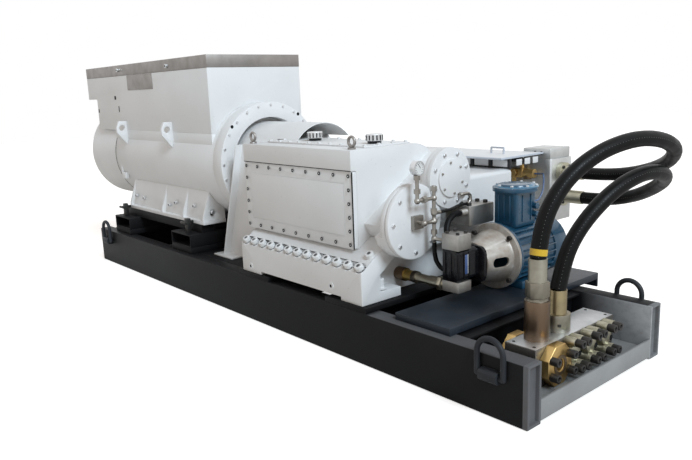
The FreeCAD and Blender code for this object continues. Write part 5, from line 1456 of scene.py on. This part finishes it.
# %% [markdown]
# The floor and the world are plain. The world lights softly and a little warm, but the camera,
# reflections and glass see it as white, and the floor glows only for the camera. So the lamp can stay
# at a level where a colour renders as it is written. One broad cool lamp shines from past the front end
# of the skid, which leaves the long side in softer, warmer light.

# %% Floor, world and lamp
FLOOR_SIZE = 40
FLOOR_DROP = 0.002
FLOOR_COLOUR = (0.80, 0.765, 0.72, 1)
FLOOR_GLOW = 0.60
WHITE = (1, 1, 1, 1)
AMBIENT = (1.0, 0.90, 0.83)
AMBIENT_LEVEL = 0.38
SUN_COLOUR = (0.74, 0.88, 1.0)
SUN_LEVEL = 2.45
SUN_SPREAD = math.radians(24)
SUN_FROM = Vector((0.80, -0.10, 0.72))


def make_floor():
    bm = bmesh.new()
    bmesh.ops.create_grid(bm, x_segments=1, y_segments=1, size=FLOOR_SIZE / 2,
                          matrix=Matrix.Translation((0, 0, cad_low.z - FLOOR_DROP)))
    mesh = bpy.data.meshes.new("floor")
    bm.to_mesh(mesh)
    bm.free()
    finish = Finish("floor", roughness=0.7, base_color=FLOOR_COLOUR, emission_color=WHITE)
    seen = finish.add("LightPath").outputs["Is Camera Ray"]
    finish.feed(finish.shader.inputs["Emission Strength"], Wire(finish, seen) * FLOOR_GLOW)
    mesh.materials.append(finish.material)
    add_object("floor", mesh)


def make_world():
    world = bpy.data.worlds.new("studio")
    world.use_nodes = True
    bpy.context.scene.world = world
    tree = world.node_tree
    path = tree.nodes.new("ShaderNodeLightPath")
    seen = path.outputs["Is Camera Ray"]
    for ray in ("Is Glossy Ray", "Is Transmission Ray"):
        either = tree.nodes.new("ShaderNodeMath")
        either.operation = "MAXIMUM"
        tree.links.new(seen, either.inputs[0])
        tree.links.new(path.outputs[ray], either.inputs[1])
        seen = either.outputs[0]
    mix = tree.nodes.new("ShaderNodeMix")
    mix.data_type = "RGBA"
    mix.inputs[6].default_value = (*(part * AMBIENT_LEVEL for part in AMBIENT), 1)
    mix.inputs[7].default_value = WHITE
    tree.links.new(seen, mix.inputs[0])
    tree.links.new(mix.outputs[2], tree.nodes["Background"].inputs["Color"])


def make_lamp():
    lamp = bpy.data.lights.new("window light", "SUN")
    lamp.energy = SUN_LEVEL
    lamp.angle = SUN_SPREAD
    lamp.color = SUN_COLOUR
    sun = add_object("window_light", lamp)
    sun.rotation_mode = "QUATERNION"
    sun.rotation_quaternion = SUN_FROM.to_track_quat("Z", "Y")


make_floor()
make_world()
make_lamp()
bpy.context.scene.view_settings.view_transform = "Standard"
print("lamp level", SUN_LEVEL, "ambient level", AMBIENT_LEVEL)

# %% [markdown]
